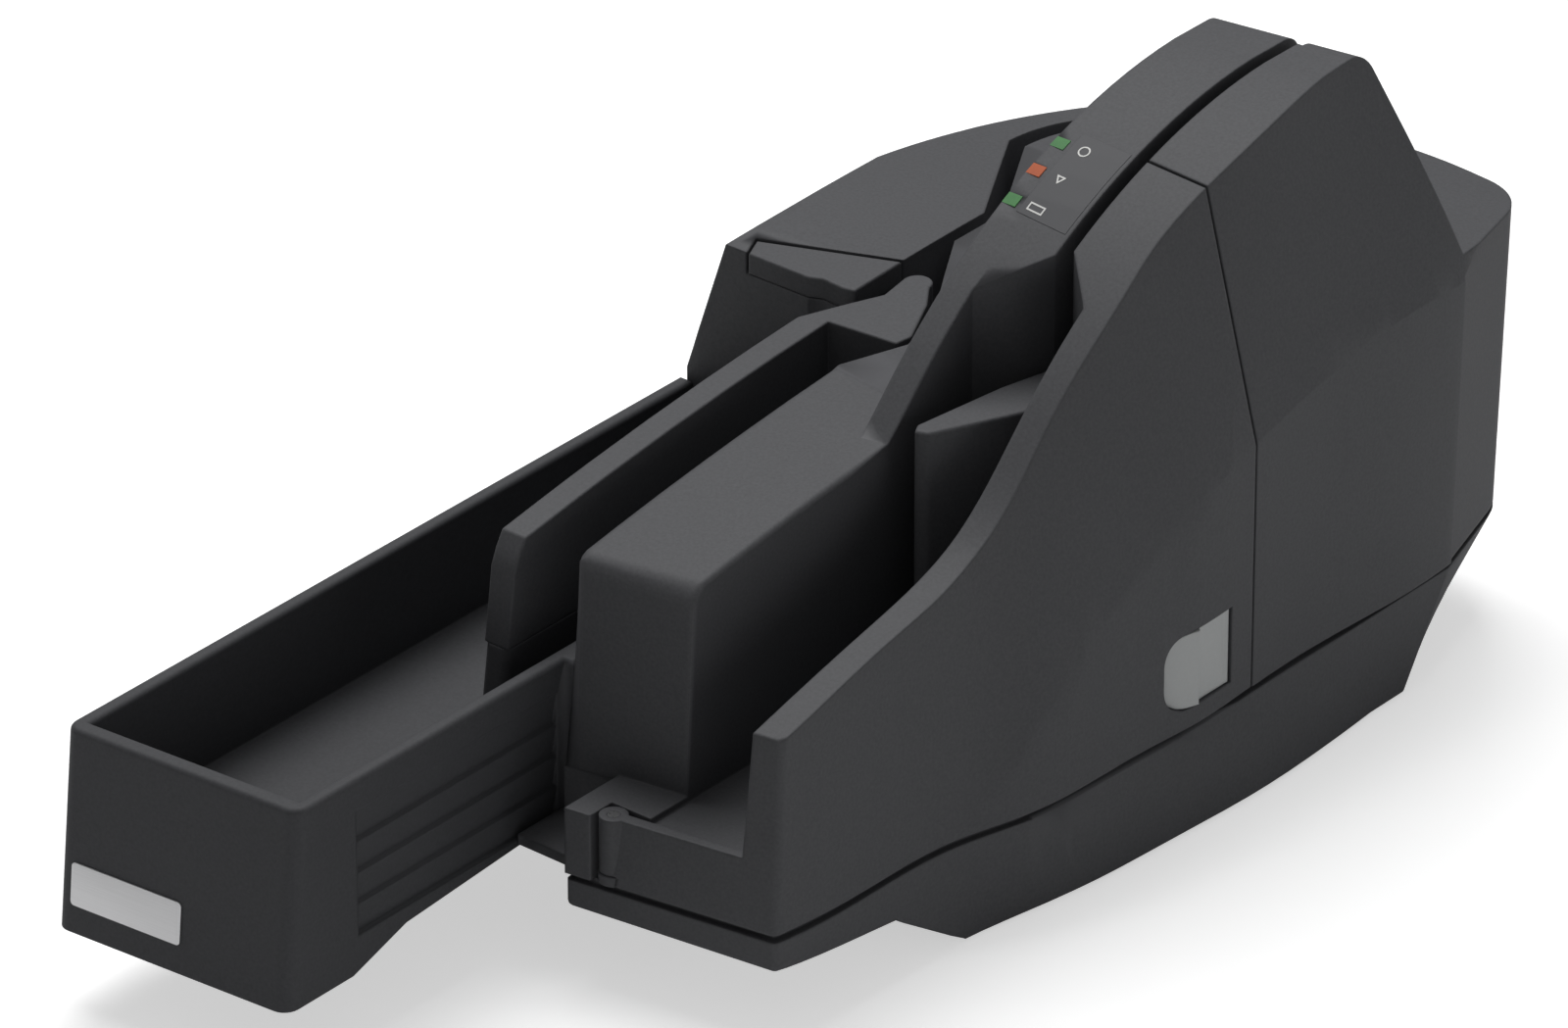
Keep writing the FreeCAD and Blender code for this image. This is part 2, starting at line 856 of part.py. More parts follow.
head_x = d.ridge_right - d.head_setback - d.head_width
track_lip = d.ridge_right + d.track_width / 2
core = core.cut(
    block(
        head_x, track_lip, d.front_head_place, d.front_head_place + d.head_length, d.head_low, d.head_low + d.head_height
    )
)
magnet_x = d.ridge_right - d.head_setback - d.magnet_width
core = core.cut(
    block(magnet_x, track_lip, d.magnet_place, d.magnet_place + d.magnet_length, d.head_low, d.head_low + d.magnet_height)
)
core = core.cut(
    post(d.pusher_x, d.pusher_y, d.track_floor - d.pusher_pin_depth, d.peak_height, d.pusher_pin + d.shaft_fit)
    .common(block(0, d.side_reach, 0, d.seam_place, 0, d.track_floor))
)


def spine_height(x, y):
    """Height of the spine's surface at one place."""
    probe = Part.makeLine(Vector(x, y, 0), Vector(x, y, d.peak_height + d.overrun))
    return probe.common(under_spine(0.0, d.side_reach)).BoundBox.ZMax


LAMPS = []
for i, label in enumerate(("lamp_ready", "lamp_error", "lamp_power")):
    y = d.lamp_first + i * d.lamp_pitch
    x = d.ridge_left
    top = spine_height(x, y)
    rise = math.atan2(spine_height(x, y + d.lamp_length) - top, d.lamp_length)
    lens = block(0, d.lamp_width, -d.lamp_length / 2, d.lamp_length / 2, -d.lamp_depth, 0)
    seat = block(-d.overrun, d.lamp_width, -d.lamp_length / 2, d.lamp_length / 2, -d.lamp_depth, d.overrun)
    for piece in (lens, seat):
        piece.rotate(Vector(0, 0, 0), Vector(1, 0, 0), math.degrees(rise))
        piece.translate(Vector(x, y, top))
    LAMPS.append((label, lens))
    core = core.cut(seat)
add("centre_housing", core.removeSplitter())
for label, lens in LAMPS:
    add(label, lens)


# ---------------------------------------------------------------- lower case
def case_wire(level, flank_table, rear_table, inset=0.0):
    """Outline of the lower case at one level, moved in all round by inset."""
    left_side = d.flank_reach - inset
    right_side = d.side_reach - inset
    back = d.rear_reach - d.rear_draft - inset
    flank = [(x * d.side_reach - inset, y * d.rear_reach) for y, x in flank_table]
    rear = [(x * (left_side if x < 0 else right_side), y * back) for x, y in rear_table]
    left = rear[9][0]
    corner_x = flank[0][0]
    return outline(
        level,
        (d.nose_left + inset, front_line(d.nose_left) + inset),
        [
            (corner_x, front_line(corner_x) + inset),
            flank[1:],
            rear[0],
            rear[1],
            (rear[2], rear[3]),
            (rear[4], rear[5]),
            (rear[6], rear[7]),
            (rear[8], rear[9]),
            (left, -d.belly_front + inset),
            (d.nose_left + inset, -d.belly_front + inset),
        ],
    )


top_flank = [(row[0], row[1]) for row in side_shares[1:10]]
case_low = case_wire(d.foot_proud, stand_shares, stand_rear_shares)
case_top = case_wire(d.pan_top, top_flank, rear_shares)
pan = Part.makeLoft([case_low, case_top], True, True)


def keel(rise):
    """Room above the lower case's underside, raised by rise: nose, belly, stand."""
    far = d.rear_reach + d.overrun
    return side_prism(
        [
            (-d.nose_front - d.overrun, d.nose_bottom + rise),
            (-d.belly_front, d.belly_bottom + rise),
            (-d.stand_front, d.foot_proud + rise),
            (far, d.foot_proud + rise),
            (far, d.peak_height),
            (-d.nose_front - d.overrun, d.peak_height),
        ],
        -d.side_reach - d.overrun * 2,
        d.side_reach + d.overrun * 2,
    )


pan = pan.common(keel(0.0))
well = plan_polygon(
    d.foot_proud,
    d.pan_top,
    [
        (-d.flank_reach + d.pan_wall * 4, -d.stand_front + d.pan_wall),
        (d.side_reach - d.pan_wall * 4, -d.stand_front + d.pan_wall),
        (d.side_reach - d.pan_wall * 2, d.throat_front),
        (d.side_reach - d.pan_wall * 2, d.stand_rear),
        (d.side_reach / 2, d.stand_rear + d.pan_wall * 6),
        (-d.flank_reach / 2, d.stand_rear + d.pan_wall * 6),
        (-d.flank_reach + d.pan_wall * 4, d.stand_rear - d.pan_wall * 4),
    ],
).common(keel(d.pan_floor))
pan = pan.cut(well)
neck = Part.Face(case_wire(d.pan_top, top_flank, rear_shares, d.groove_depth))
neck_hole = Part.Face(case_wire(d.pan_top, top_flank, rear_shares, d.groove_depth + d.pan_wall))
pan = pan.fuse(neck.extrude(Vector(0, 0, d.groove_height)).cut(neck_hole.extrude(Vector(0, 0, d.groove_height))))
FEET = [
    (s.side_reach * 0.76, s.foot_radius * 2.2 - s.stand_front),
    (s.side_reach * 0.80, s.stand_rear - s.foot_radius * 2),
    (-s.side_reach * 0.74, s.foot_radius * 2.2 - s.stand_front),
    (-s.side_reach * 0.74, s.stand_rear - s.foot_radius * 3.4),
]
for x, y in FEET:
    pan = pan.cut(post(x.value, y.value, 0, d.foot_proud + d.foot_seat, d.foot_radius + d.fit_gap))
for x, y, radius in DRIVES.values():
    boss = post(x.value, y.value, d.foot_proud + d.pan_floor, d.shaft_end + d.bearing_length, d.boss_radius)
    pan = pan.fuse(boss.cut(post(x.value, y.value, d.shaft_end, d.pan_top, d.shaft_radius + d.shaft_fit)))
for x in (d.board_width - d.board_left - d.standoff_radius, d.standoff_radius - d.board_left):
    for y in (d.standoff_radius, d.board_length - d.standoff_radius):
        pan = pan.fuse(post(x, y - d.throat_front, d.foot_proud + d.pan_floor, d.board_low, d.standoff_radius))
motor_seat = d.foot_proud + d.pan_floor
pan = pan.fuse(post(d.return_middle, d.gate_place, motor_seat, motor_seat + d.foot_proud, d.solenoid_radius))
add("lower_case", pan.removeSplitter())

feet = []
for x, y in FEET:
    foot = doc.addObject("Part::Cylinder", "Foot")
    bind(foot, "Radius", s.foot_radius)
    bind(foot, "Height", s.foot_proud + s.foot_seat)
    settle(foot, (x, y, None))
    feet.append(foot)
pads = doc.addObject("Part::Compound", "rubber_feet")
pads.Links = feet
keep_node(pads, "rubber_feet")

# ---------------------------------------------------------------- pocket tray
tray_left = -d.left_reach + d.tray_wall
tray_inner = -d.tray_right - d.tray_wall
tray = side_prism(
    [
        (-d.front_reach, d.tray_bottom),
        (-d.tray_toe, d.tray_bottom),
        (-d.tray_instep, d.tray_bottom + d.tray_instep_rise),
        (-d.tray_waist, d.deck_bottom),
        (d.tray_end, d.deck_bottom),
        (d.tray_end, d.tray_rim),
        (-d.front_reach + d.tray_lean, d.tray_rim),
    ],
    -d.left_reach,
    -d.tray_right,
)


def tray_front(inset):
    """Slanted, leaning room behind the tray's front face, moved back by inset."""
    home = -d.front_reach + tray_slant * d.left_reach + inset
    return side_prism(
        [
            (home - d.tray_lean, d.tray_bottom - (d.tray_rim - d.tray_bottom)),
            (home + d.tray_lean * 2, d.tray_rim * 2 - d.tray_bottom),
            (d.rear_reach, d.tray_rim * 2 - d.tray_bottom),
            (d.rear_reach, d.tray_bottom - (d.tray_rim - d.tray_bottom)),
        ],
        -d.left_reach - d.overrun,
        0,
        tray_slant,
    )


tray = tray.common(tray_front(0.0))
hollow = block(tray_left, tray_inner, -d.front_reach, d.tray_end + d.overrun, d.tray_floor, d.peak_height)
tray = tray.cut(hollow.common(tray_front(d.tray_front_wall)))
tray = tray.cut(block(tray_inner, 0, -d.tray_wall, d.tray_end + d.overrun, d.tray_floor, d.peak_height))
under = block(
    tray_left, tray_inner, -d.front_reach, -d.tray_waist - d.tray_wall, d.tray_bottom - d.overrun,
    d.tray_floor - d.tray_floor_skin,
)
tray = tray.cut(under.common(tray_front(d.tray_front_wall)))
# stepped ribs let into the outer right wall
RIBS = 4
step = (d.rib_high - d.rib_low) / RIBS
saw = [Vector(-d.tray_right + d.overrun, -d.rib_front, d.rib_low)]
for i in range(RIBS):
    low = d.rib_low + i * step
    saw.append(Vector(-d.tray_right - d.rib_depth, -d.rib_front, low))
    saw.append(Vector(-d.tray_right - d.rib_land, -d.rib_front, low + step - d.rib_land))
saw.append(Vector(-d.tray_right - d.rib_land, -d.rib_front, d.rib_high))
saw.append(Vector(-d.tray_right + d.overrun, -d.rib_front, d.rib_high))
tray = tray.cut(Part.Face(Part.makePolygon(saw + saw[:1])).extrude(Vector(0, d.rib_front - d.rib_rear, 0)))
# wall between the small pocket and the deck, and the floor behind it
small_pocket_wall = block(
    tray_inner, -d.deck_left - d.fit_gap, deck_line(-d.deck_left) + d.deck_lean, 0, d.deck_bottom, d.tray_rim
)
gap = d.fit_gap * 2
behind = plan_polygon(
    d.deck_bottom,
    d.tray_floor - d.deck_bottom,
    [
        (tray_inner, -d.tray_wall),
        (-d.deck_left - gap, -d.tray_wall),
        (-d.deck_left - gap, notch_front_share * d.rear_reach + gap),
        (notch[2][0] - gap, notch[2][1] + gap / 2),
        (notch[1][0] - gap, notch[1][1]),
        (notch[0][0] - gap, notch[0][1] - gap),
        (-d.return_inner - gap, d.fork_place - gap),
        (-d.return_outer + gap, d.fork_place - gap),
        (spot(pocket_end_shares[5])[0] + gap, spot(pocket_end_shares[5])[1] - gap),
        (spot(pocket_end_shares[4])[0] + gap, spot(pocket_end_shares[4])[1]),
        (spot(pocket_end_shares[3])[0], spot(pocket_end_shares[3])[1] - gap),
        (spot(pocket_end_shares[2])[0], d.tray_end),
        (tray_inner - d.tray_wall, d.tray_end),
    ],
)
tray = tray.fuse([small_pocket_wall, behind]).cut(core)
tray = tray.cut(post(d.return_middle, d.gate_place, 0, d.tray_floor, d.gate_pin + d.shaft_fit))
add("pocket_tray", tray.removeSplitter())

# ---------------------------------------------------------------- pocket divider
wall_front = -d.divider_front
wall_top = crown_level(wall_front) - d.divider_drop
divider = side_prism(
    [
        (wall_front, d.tray_floor),
        (wall_front + d.divider_lean, wall_top - d.divider_round),
        (wall_front + d.divider_lean + d.divider_round * 0.3, wall_top - d.divider_round * 0.3),
        (wall_front + d.divider_lean + d.divider_round, wall_top + d.overrun),
        (d.tray_end * 0.5, d.crown_height + d.overrun),
        (d.tray_end * 0.5, d.tray_floor),
    ],
    -d.divider_left,
    d.divider_right,
).common(under_crown(d.divider_drop, -d.side_reach, d.side_reach))
head = [spot(pair) for pair in head_shares]
divider_head = plan(
    d.tray_floor,
    d.crown_height,
    (-d.divider_left, 0.0),
    [
        (d.divider_right, 0.0),
        (d.divider_right, head[0][1] - d.divider_drop),
        head[0],
        head[1],
        head[2],
        head[3],
        (head[4], head[5]),
        head[6],
        head[7],
        (-d.divider_left, head[8][1]),
    ],
).common(under_crown(d.divider_drop, -d.side_reach, d.side_reach))
divider = divider.fuse(divider_head)
low_half = block(-d.side_reach, d.side_reach, -d.front_reach, d.rear_reach, 0, d.divider_seam)
high_half = block(-d.side_reach, d.side_reach, -d.front_reach, d.rear_reach, d.divider_seam, d.peak_height)
add("divider_base", divider.common(low_half).removeSplitter())
add("divider_cap", divider.common(high_half).removeSplitter())

# ---------------------------------------------------------------- left housing, lid and cartridge
upright = Part.makeLoft([left_wire(d.deck_bottom, 0.0), left_wire(d.left_crease, 0.0)], True, True)
upper = Part.makeLoft([left_wire(d.left_crease, 0.0), left_wire(d.crown_height + d.overrun, d.left_lean)], True, True)
left_body = upright.fuse(upper).common(under_crown(0.0, -d.left_reach - d.overrun, d.side_reach))
left_body = left_body.cut(
    plan(
        d.deck_bottom - d.overrun,
        d.peak_height,
        (-d.return_outer, 0.0),
        [
            (-d.return_outer, d.return_place + d.pinch_radius),
            (d.turn_x - d.turn_outer, d.turn_place),
            ((d.turn_x, d.turn_place + d.turn_outer), (d.turn_x + d.turn_outer, d.turn_place)),
            (d.turn_x + d.turn_outer, 0.0),
        ],
    )
)
pocket_end = [spot(pair) for pair in pocket_end_shares]
left_body = left_body.cut(
    plan_polygon(
        d.deck_bottom - d.overrun,
        d.peak_height,
        [
            (-d.left_reach - d.overrun, 0.0),
            (-d.left_reach - d.overrun, d.tray_end + d.fit_gap / 2),
            (tray_left, d.tray_end + d.fit_gap / 2),
            pocket_end[0],
            pocket_end[1],
            pocket_end[2],
            pocket_end[3],
            pocket_end[4],
            pocket_end[5],
            (-d.return_outer, pocket_end[5][1] + d.parting_gap),
            (-d.return_outer, 0.0),
        ],
    )
)
left_body = left_body.cut(
    block(-d.left_reach, 0, -d.front_reach, d.tray_end + d.fit_gap, 0, d.tray_floor + d.fit_gap)
).cut(tray)
seam_a, seam_b = (spot(pair) for pair in lid_seam_shares)
seam_turn = math.atan2(seam_b[1] - seam_a[1], seam_b[0] - seam_a[0])
lid_low = crown_level(d.tray_end) - d.lid_thick
lid_left = -d.lid_left
across = (-math.sin(seam_turn), math.cos(seam_turn))


def lid_plan(inset):
    front = d.tray_end - d.overrun
    run = seam_a[1] - front
    return plan_polygon(
        lid_low,
        d.peak_height,
        [
            (seam_a[0] + inset, seam_a[1] - inset),
            (seam_b[0], seam_b[1] - inset),
            (d.overrun, seam_b[1] + d.overrun / 2 - inset),
            (d.overrun, front),
            (seam_a[0] + inset - across[0] / across[1] * run, front),
        ],
    )


lid = left_body.common(lid_plan(d.parting_gap))
left_body = left_body.cut(lid_plan(0.0))
lid = lid.common(block(-d.left_reach, d.side_reach, 0, d.rear_reach, lid_low + d.fit_gap, d.peak_height))
derive("lid_bottom_level", s.crown_height - s.crown_drop - s.lid_thick)
cart_low = lid_low - d.cartridge_height
cart_x1 = -d.return_outer - d.cartridge_setback
cart_x0 = cart_x1 - d.cartridge_length
cart_y0 = pocket_end[1][1] + d.cartridge_wall
left_body = left_body.cut(
    block(
        cart_x0 - d.fit_gap, cart_x1 + d.fit_gap, cart_y0 - d.fit_gap, cart_y0 + d.cartridge_width + d.fit_gap,
        cart_low, d.peak_height,
    )
)
left_body = left_body.cut(roller_room(s.return_pinch_x, s.return_place, s.pinch_radius))
left_body = left_body.cut(pin_hole(s.return_pinch_x, s.return_place))
flank = -d.flank_reach
for place, width, height, depth in (
    (d.inlet_place, d.inlet_body, d.inlet_body, d.inlet_depth + d.socket_proud),
    (d.usb_place, d.usb_width, d.usb_height, d.usb_depth),
    (d.switch_place, d.switch_width, d.switch_height, d.switch_depth),
):
    left_body = left_body.cut(
        block(flank - d.overrun, flank + depth, place, place + width, d.socket_low, d.socket_low + height)
    )
add("left_housing", left_body.removeSplitter())
add("cartridge_lid", lid.removeSplitter())

# ---------------------------------------------------------------- right covers
form = right_form()
shell = form.common(under_spine(0.0, d.side_reach + d.overrun))
rear_outline = Part.makeLoft([rear_wire(d.deck_bottom), rear_wire(d.peak_height + d.overrun)], True, True)
roof = under_spine(0.0, d.side_reach + d.overrun).fuse(under_crown(0.0, 0.0, d.side_reach + d.overrun))
behind_seam = block(
    0, d.side_reach + d.overrun, d.seam_place + d.parting_gap, d.rear_reach + d.overrun * 2, d.deck_bottom, d.peak_height * 2
)
rear_cover = form.common(behind_seam).common(roof).common(rear_outline)
rear_cover = rear_cover.cut(
    plan(
        d.deck_bottom - d.overrun,
        d.peak_height * 2,
        (-d.side_reach, 0.0),
        [
            (d.track_right, 0.0),
            (d.track_right, d.turn_place),
            (d.turn_x + d.turn_outer, d.turn_place),
            ((d.turn_x, d.turn_place + d.turn_outer), (d.turn_x - d.turn_outer, d.turn_place)),
            (-d.side_reach, d.turn_place),
        ],
    )
)
rear_head_x = d.track_right + d.head_setback
rear_cover = rear_cover.cut(
    block(
        track_lip, rear_head_x + d.head_width, d.rear_head_place, d.rear_head_place + d.head_length,
        d.head_low, d.head_low + d.head_height,
    )
)
rear_cover = rear_cover.cut(roller_room(s.pinch_x, s.exit_place, s.pinch_radius))
rear_cover = rear_cover.cut(pin_hole(s.pinch_x, s.exit_place))
add("rear_cover", rear_cover.removeSplitter())

lean_home = front_line(0)
nose_room = side_prism(
    [
        (lean_home, 0),
        (lean_home, d.deck_bottom),
        (lean_home + d.front_lean, d.peak_height),
        (d.rear_reach, d.peak_height),
        (d.rear_reach, 0),
    ],
    0,
    d.side_reach + d.overrun,
    slant,
)
cover_bottom = d.deck_bottom + d.fit_gap
wall = shell.common(
    plan_polygon(
        cover_bottom,
        d.peak_height,
        [
            (d.hopper_right, front_line(d.hopper_right)),
            (d.side_reach + d.overrun, front_line(d.side_reach + d.overrun)),
            (d.side_reach + d.overrun, d.seam_place),
            (d.track_right, d.seam_place),
            (d.track_right, d.throat_rear + d.knuckle_radius * 0.7),
            (d.hopper_right, d.throat_rear - d.knuckle_radius * 2),
        ],
    )
)
panel = plan_polygon(
    cover_bottom,
    d.lip_height - cover_bottom,
    [
        (hinge_x, front_line(hinge_x)),
        (d.hopper_right + d.overrun, front_line(d.hopper_right + d.overrun)),
        (d.hopper_right + d.overrun, front_line(d.hopper_right + d.overrun) + d.front_panel),
        (hinge_x, front_line(hinge_x) + d.front_panel),
    ],
)
knuckle_low = d.deck_bottom + d.pan_floor + d.fit_gap
knuckle_clear = post(hinge_x, hinge_y, 0, knuckle_low, d.knuckle_radius + d.fit_gap * 2)
knuckle = post(hinge_x, hinge_y, knuckle_low, d.lip_height, d.knuckle_radius)
front_cover = wall.fuse(panel).common(nose_room).cut(knuckle_clear).fuse(knuckle)
front_cover = front_cover.cut(
    post(hinge_x, hinge_y, 0, d.peak_height / 2, d.hinge_pin_radius + d.shaft_fit)
)
front_cover = front_cover.cut(roller_room(s.pinch_x, s.entry_place, s.pinch_radius))
front_cover = front_cover.cut(pin_hole(s.pinch_x, s.entry_place))
lever_front = d.lever_rear - d.lever_length
lever_high = d.lever_low + d.lever_height
front_cover = front_cover.cut(
    block(
        d.side_reach - d.lever_recess,
        d.side_reach + d.overrun,
        lever_front - d.fit_gap * 2,
        d.lever_rear + d.parting_gap,
        d.lever_low - d.fit_gap,
        lever_high + d.fit_gap,
    )
)
lever_x = d.side_reach - d.lever_plate / 2
lever_y = d.lever_rear - d.lever_plate / 2
front_cover = front_cover.cut(
    post(lever_x, lever_y, d.lever_low - d.lever_plate, lever_high + d.lever_plate, d.lever_pin)
)
add("front_cover", front_cover.removeSplitter())

# ---------------------------------------------------------------- pins
hinge_place_x = s.panel_left
hinge_place_y = s.knuckle_radius - s.nose_front + s.front_slant * (s.panel_left - s.nose_left) / (s.side_reach - s.nose_left)
rod("hinge_pin", (hinge_place_x, hinge_place_y, s.deck_bottom), s.hinge_pin_radius, s.lip_height - s.deck_bottom)
for label, (x, y) in PINCHES.items():
    rod(f"{label}_pin", (x, y, s.shaft_low), s.shaft_radius, s.shaft_high - s.shaft_low)
    tube(
        f"{label}_roller" if label == "retard" else label.replace("pinch", "pinch_roller"),
        (x, y, s.roller_low),
        s.shaft_radius + s.shaft_fit,
        s.pinch_radius,
        s.roller_length,
    )
rod(
    "lever_pin",
    (s.side_reach - s.lever_plate / 2, s.lever_rear - s.lever_plate / 2, s.lever_low - s.lever_plate),
    s.lever_pin,
    s.lever_height + s.lever_plate * 2,
)

# ---------------------------------------------------------------- driven rollers
for label, (x, y, radius) in DRIVES.items():
    rod(f"{label}_shaft", (x, y, s.shaft_end), s.shaft_radius, s.shaft_high - s.shaft_end)
    turned(
        f"{label}_roller",
        (x, y, s.roller_low),
        [
            (s.shaft_radius, 0),
            (radius, 0),
            (radius, s.roller_length * 0.36),
            (radius - s.tyre_thick, s.roller_length * 0.36),
            (radius - s.tyre_thick, s.roller_length * 0.64),
            (radius, s.roller_length * 0.64),
            (radius, s.roller_length),
            (s.shaft_radius, s.roller_length),
        ],
    )
    tube(f"{label}_pulley", (x, y, s.pulley_low), s.shaft_radius, s.pulley_radius, s.pulley_height)

motor_x = -s.motor_side
motor_low = s.foot_proud + s.pan_floor
tube("drive_motor", (motor_x, s.motor_place, motor_low), s.shaft_radius + s.shaft_fit, s.motor_radius, s.motor_height)
turned(
    "motor_pulley",
    (motor_x, s.motor_place, None),
    [
        (0, motor_low + s.motor_height / 2),
        (s.shaft_radius, motor_low + s.motor_height / 2),
        (s.shaft_radius, s.pulley_low),
        (s.pulley_radius, s.pulley_low),
        (s.pulley_radius, s.pulley_low + s.pulley_height),
        (0, s.pulley_low + s.pulley_height),
    ],
)
loop = [(worth(x), worth(y)) for x, y, radius in (DRIVES["feed"], DRIVES["entry"], DRIVES["exit"], DRIVES["return"])]
loop.append((-d.motor_side, d.motor_place))
belt_low = d.pulley_low + (d.pulley_height - d.belt_width) / 2
run = Part.Face(Part.makePolygon([lift(p, belt_low) for p in loop + loop[:1]]))
belt = run.makeOffset2D(d.pulley_radius + d.belt_gap + d.belt_thick).cut(run.makeOffset2D(d.pulley_radius + d.belt_gap))
add("drive_belt", belt.extrude(Vector(0, 0, d.belt_width)))

# ---------------------------------------------------------------- reading heads and electronics
brick(
    "front_scan_head",
    (s.ridge_right - s.head_setback - s.head_width, s.front_head_place, s.head_low),
    s.head_width,
    s.head_length,
    s.head_height,
)
brick("rear_scan_head", (s.track_right + s.head_setback, s.rear_head_place, s.head_low), s.head_width, s.head_length, s.head_height)
brick(
    "magnetic_head",
    (s.ridge_right - s.head_setback - s.magnet_width, s.magnet_place, s.head_low),
    s.magnet_width,
    s.magnet_length,
    s.magnet_height,
)
brick("main_board", (-s.board_left, -s.throat_front, s.board_low), s.board_width, s.board_length, s.board_thick)
turned(
    "gate_solenoid",
    (s.return_middle, s.gate_place, s.foot_proud * 2 + s.pan_floor),
    [(0, 0), (s.solenoid_radius, 0), (s.solenoid_radius, s.solenoid_height), (0, s.solenoid_height)],
)
lid_level = Size(repr(lid_low), lid_low)
cartridge = doc.addObject("Part::Box", "endorsing_cartridge")
bind(cartridge, "Length", s.cartridge_length)
bind(cartridge, "Width", s.cartridge_width)
bind(cartridge, "Height", s.cartridge_height - s.fit_gap)
cartridge.Placement = FreeCAD.Placement(Vector(cart_x0, cart_y0, cart_low), FreeCAD.Rotation())
keep_node(cartridge, "endorsing_cartridge")

# ---------------------------------------------------------------- diverter gate
gate_foot = s.foot_proud * 2 + s.pan_floor + s.solenoid_height
gate = new_body("diverter_gate", (s.return_middle, s.gate_place, gate_foot))
pad(gate, ring_sketch(gate, "XY_Plane", [(0, 0, s.gate_pin)]), s.tray_floor + s.gate_height - gate_foot)
blade = corner_sketch(
    gate,
    "XY_Plane",
    [
        (-s.gate_thick / 2, 0),
        (s.gate_thick / 2, 0),
        (s.gate_thick / 4, s.gate_length),
        (-s.gate_thick / 4, s.gate_length),
    ],
    s.track_floor + s.parting_gap - gate_foot,
)
pad(gate, blade, s.tray_floor + s.gate_height - s.track_floor - s.parting_gap)

# ---------------------------------------------------------------- hopper pusher
pusher = new_body("hopper_pusher", (s.pusher_x, s.pusher_y, s.track_floor + s.fit_gap))
plan_corners = [
    (s.pusher_x * x - s.pusher_x, s.throat_front * y - s.pusher_y) for x, y in pusher_shares
]
pad(pusher, corner_sketch(pusher, "XY_Plane", plan_corners), s.pusher_top - s.track_floor - s.fit_gap)
pad(pusher, ring_sketch(pusher, "XY_Plane", [(0, 0, s.pusher_pin)]), s.pusher_pin_depth, down=True)

# ---------------------------------------------------------------- latch lever
lever = new_body("latch_lever", (s.side_reach, s.lever_rear, s.lever_low))
lever_plan = [
    (-s.lever_plate, 0),
    (0, 0),
    (0, -s.lever_length * 0.48),
    (s.lever_plate * 0.5, -s.lever_length * 0.54),
    (-s.lever_plate * 0.7, -s.lever_length),
    (-s.lever_plate * 1.2, -s.lever_length),
    (-s.lever_plate, -s.lever_length * 0.5),
]
pad(lever, corner_sketch(lever, "XY_Plane", lever_plan), s.lever_height)
pocket(
    lever,
    ring_sketch(lever, "XY_Plane", [(-s.lever_plate / 2, -s.lever_plate / 2, s.lever_pin + s.shaft_fit)]),
    s.lever_height,
    up=True,
)

# ---------------------------------------------------------------- sockets and switch on the left flank
inlet = new_body("power_inlet", (-s.flank_reach - s.socket_proud, s.inlet_place + s.inlet_body / 2, s.socket_low + s.inlet_body / 2))
half = s.inlet_body / 2
pad(inlet, corner_sketch(inlet, "YZ_Plane", [(-half, -half), (half, -half), (half, half), (-half, half)]), s.inlet_depth + s.socket_proud * 2)
pocket(inlet, ring_sketch(inlet, "YZ_Plane", [(0, 0, s.inlet_bore)]), s.inlet_depth, up=True)

usb = new_body("usb_socket", (-s.flank_reach - s.socket_proud, s.usb_place, s.socket_low))
shell_end = s.usb_shell
pad(
    usb,
    corner_sketch(usb, "YZ_Plane", [(0, 0), (s.usb_width, 0), (s.usb_width, s.usb_height), (0, s.usb_height)]),
    s.usb_depth + s.socket_proud,
)
pocket(
    usb,
    corner_sketch(
        usb,
        "YZ_Plane",
        [
            (shell_end, shell_end),
            (s.usb_width - shell_end, shell_end),
            (s.usb_width - shell_end, s.usb_height - shell_end),
            (shell_end, s.usb_height - shell_end),
        ],
    ),
    s.usb_depth - s.usb_shell,
    up=True,
)
doc.recompute()
tongue = corner_sketch(
    usb,
    "YZ_Plane",
    [
        (s.usb_width / 2 - s.usb_tongue, s.usb_height / 2 - s.usb_tongue / 2),
        (s.usb_width / 2 + s.usb_tongue, s.usb_height / 2 - s.usb_tongue / 2),
        (s.usb_width / 2 + s.usb_tongue, s.usb_height / 2 + s.usb_tongue / 2),
        (s.usb_width / 2 - s.usb_tongue, s.usb_height / 2 + s.usb_tongue / 2),
    ],
    s.usb_shell * 2,
)
pad(usb, tongue, s.usb_depth - s.usb_shell)

frame = new_body("switch_frame", (-s.flank_reach - s.socket_proud, s.switch_place, s.socket_low))
pad(
    frame,
    corner_sketch(frame, "YZ_Plane", [(0, 0), (s.switch_width, 0), (s.switch_width, s.switch_height), (0, s.switch_height)]),
    s.switch_depth + s.socket_proud,
)
pocket(
    frame,
    corner_sketch(
        frame,
        "YZ_Plane",
        [
            (s.switch_rim, s.switch_rim),
            (s.switch_width - s.switch_rim, s.switch_rim),
            (s.switch_width - s.switch_rim, s.switch_height - s.switch_rim),
            (s.switch_rim, s.switch_height - s.switch_rim),
        ],
    ),
    s.rocker_thick + s.switch_rim * 2,
    up=True,
)

rocker = new_body(
    "power_rocker",
    (
        s.rocker_thick / 2 - s.flank_reach,
        s.switch_place + s.switch_rim + s.fit_gap,
        s.socket_low + s.switch_height / 2,
    ),
)
reach = s.switch_height / 2 - s.switch_rim - s.rocker_clear
pad(
    rocker,
    corner_sketch(
        rocker,
        "XZ_Plane",
        [
            (-s.rocker_thick * 0.5, -reach),
            (-s.rocker_thick * 0.36, 0),
            (-s.rocker_thick * 0.5 - s.socket_proud * 2, reach),
            (-s.rocker_thick * 0.1, reach),
            (s.rocker_thick * 0.4, s.switch_rim),
            (s.rocker_thick * 0.4, -s.switch_rim),
            (-s.rocker_thick * 0.1, -reach),
        ],
    ),
    s.switch_width - s.switch_rim * 2 - s.fit_gap * 2,
    down=True,
)

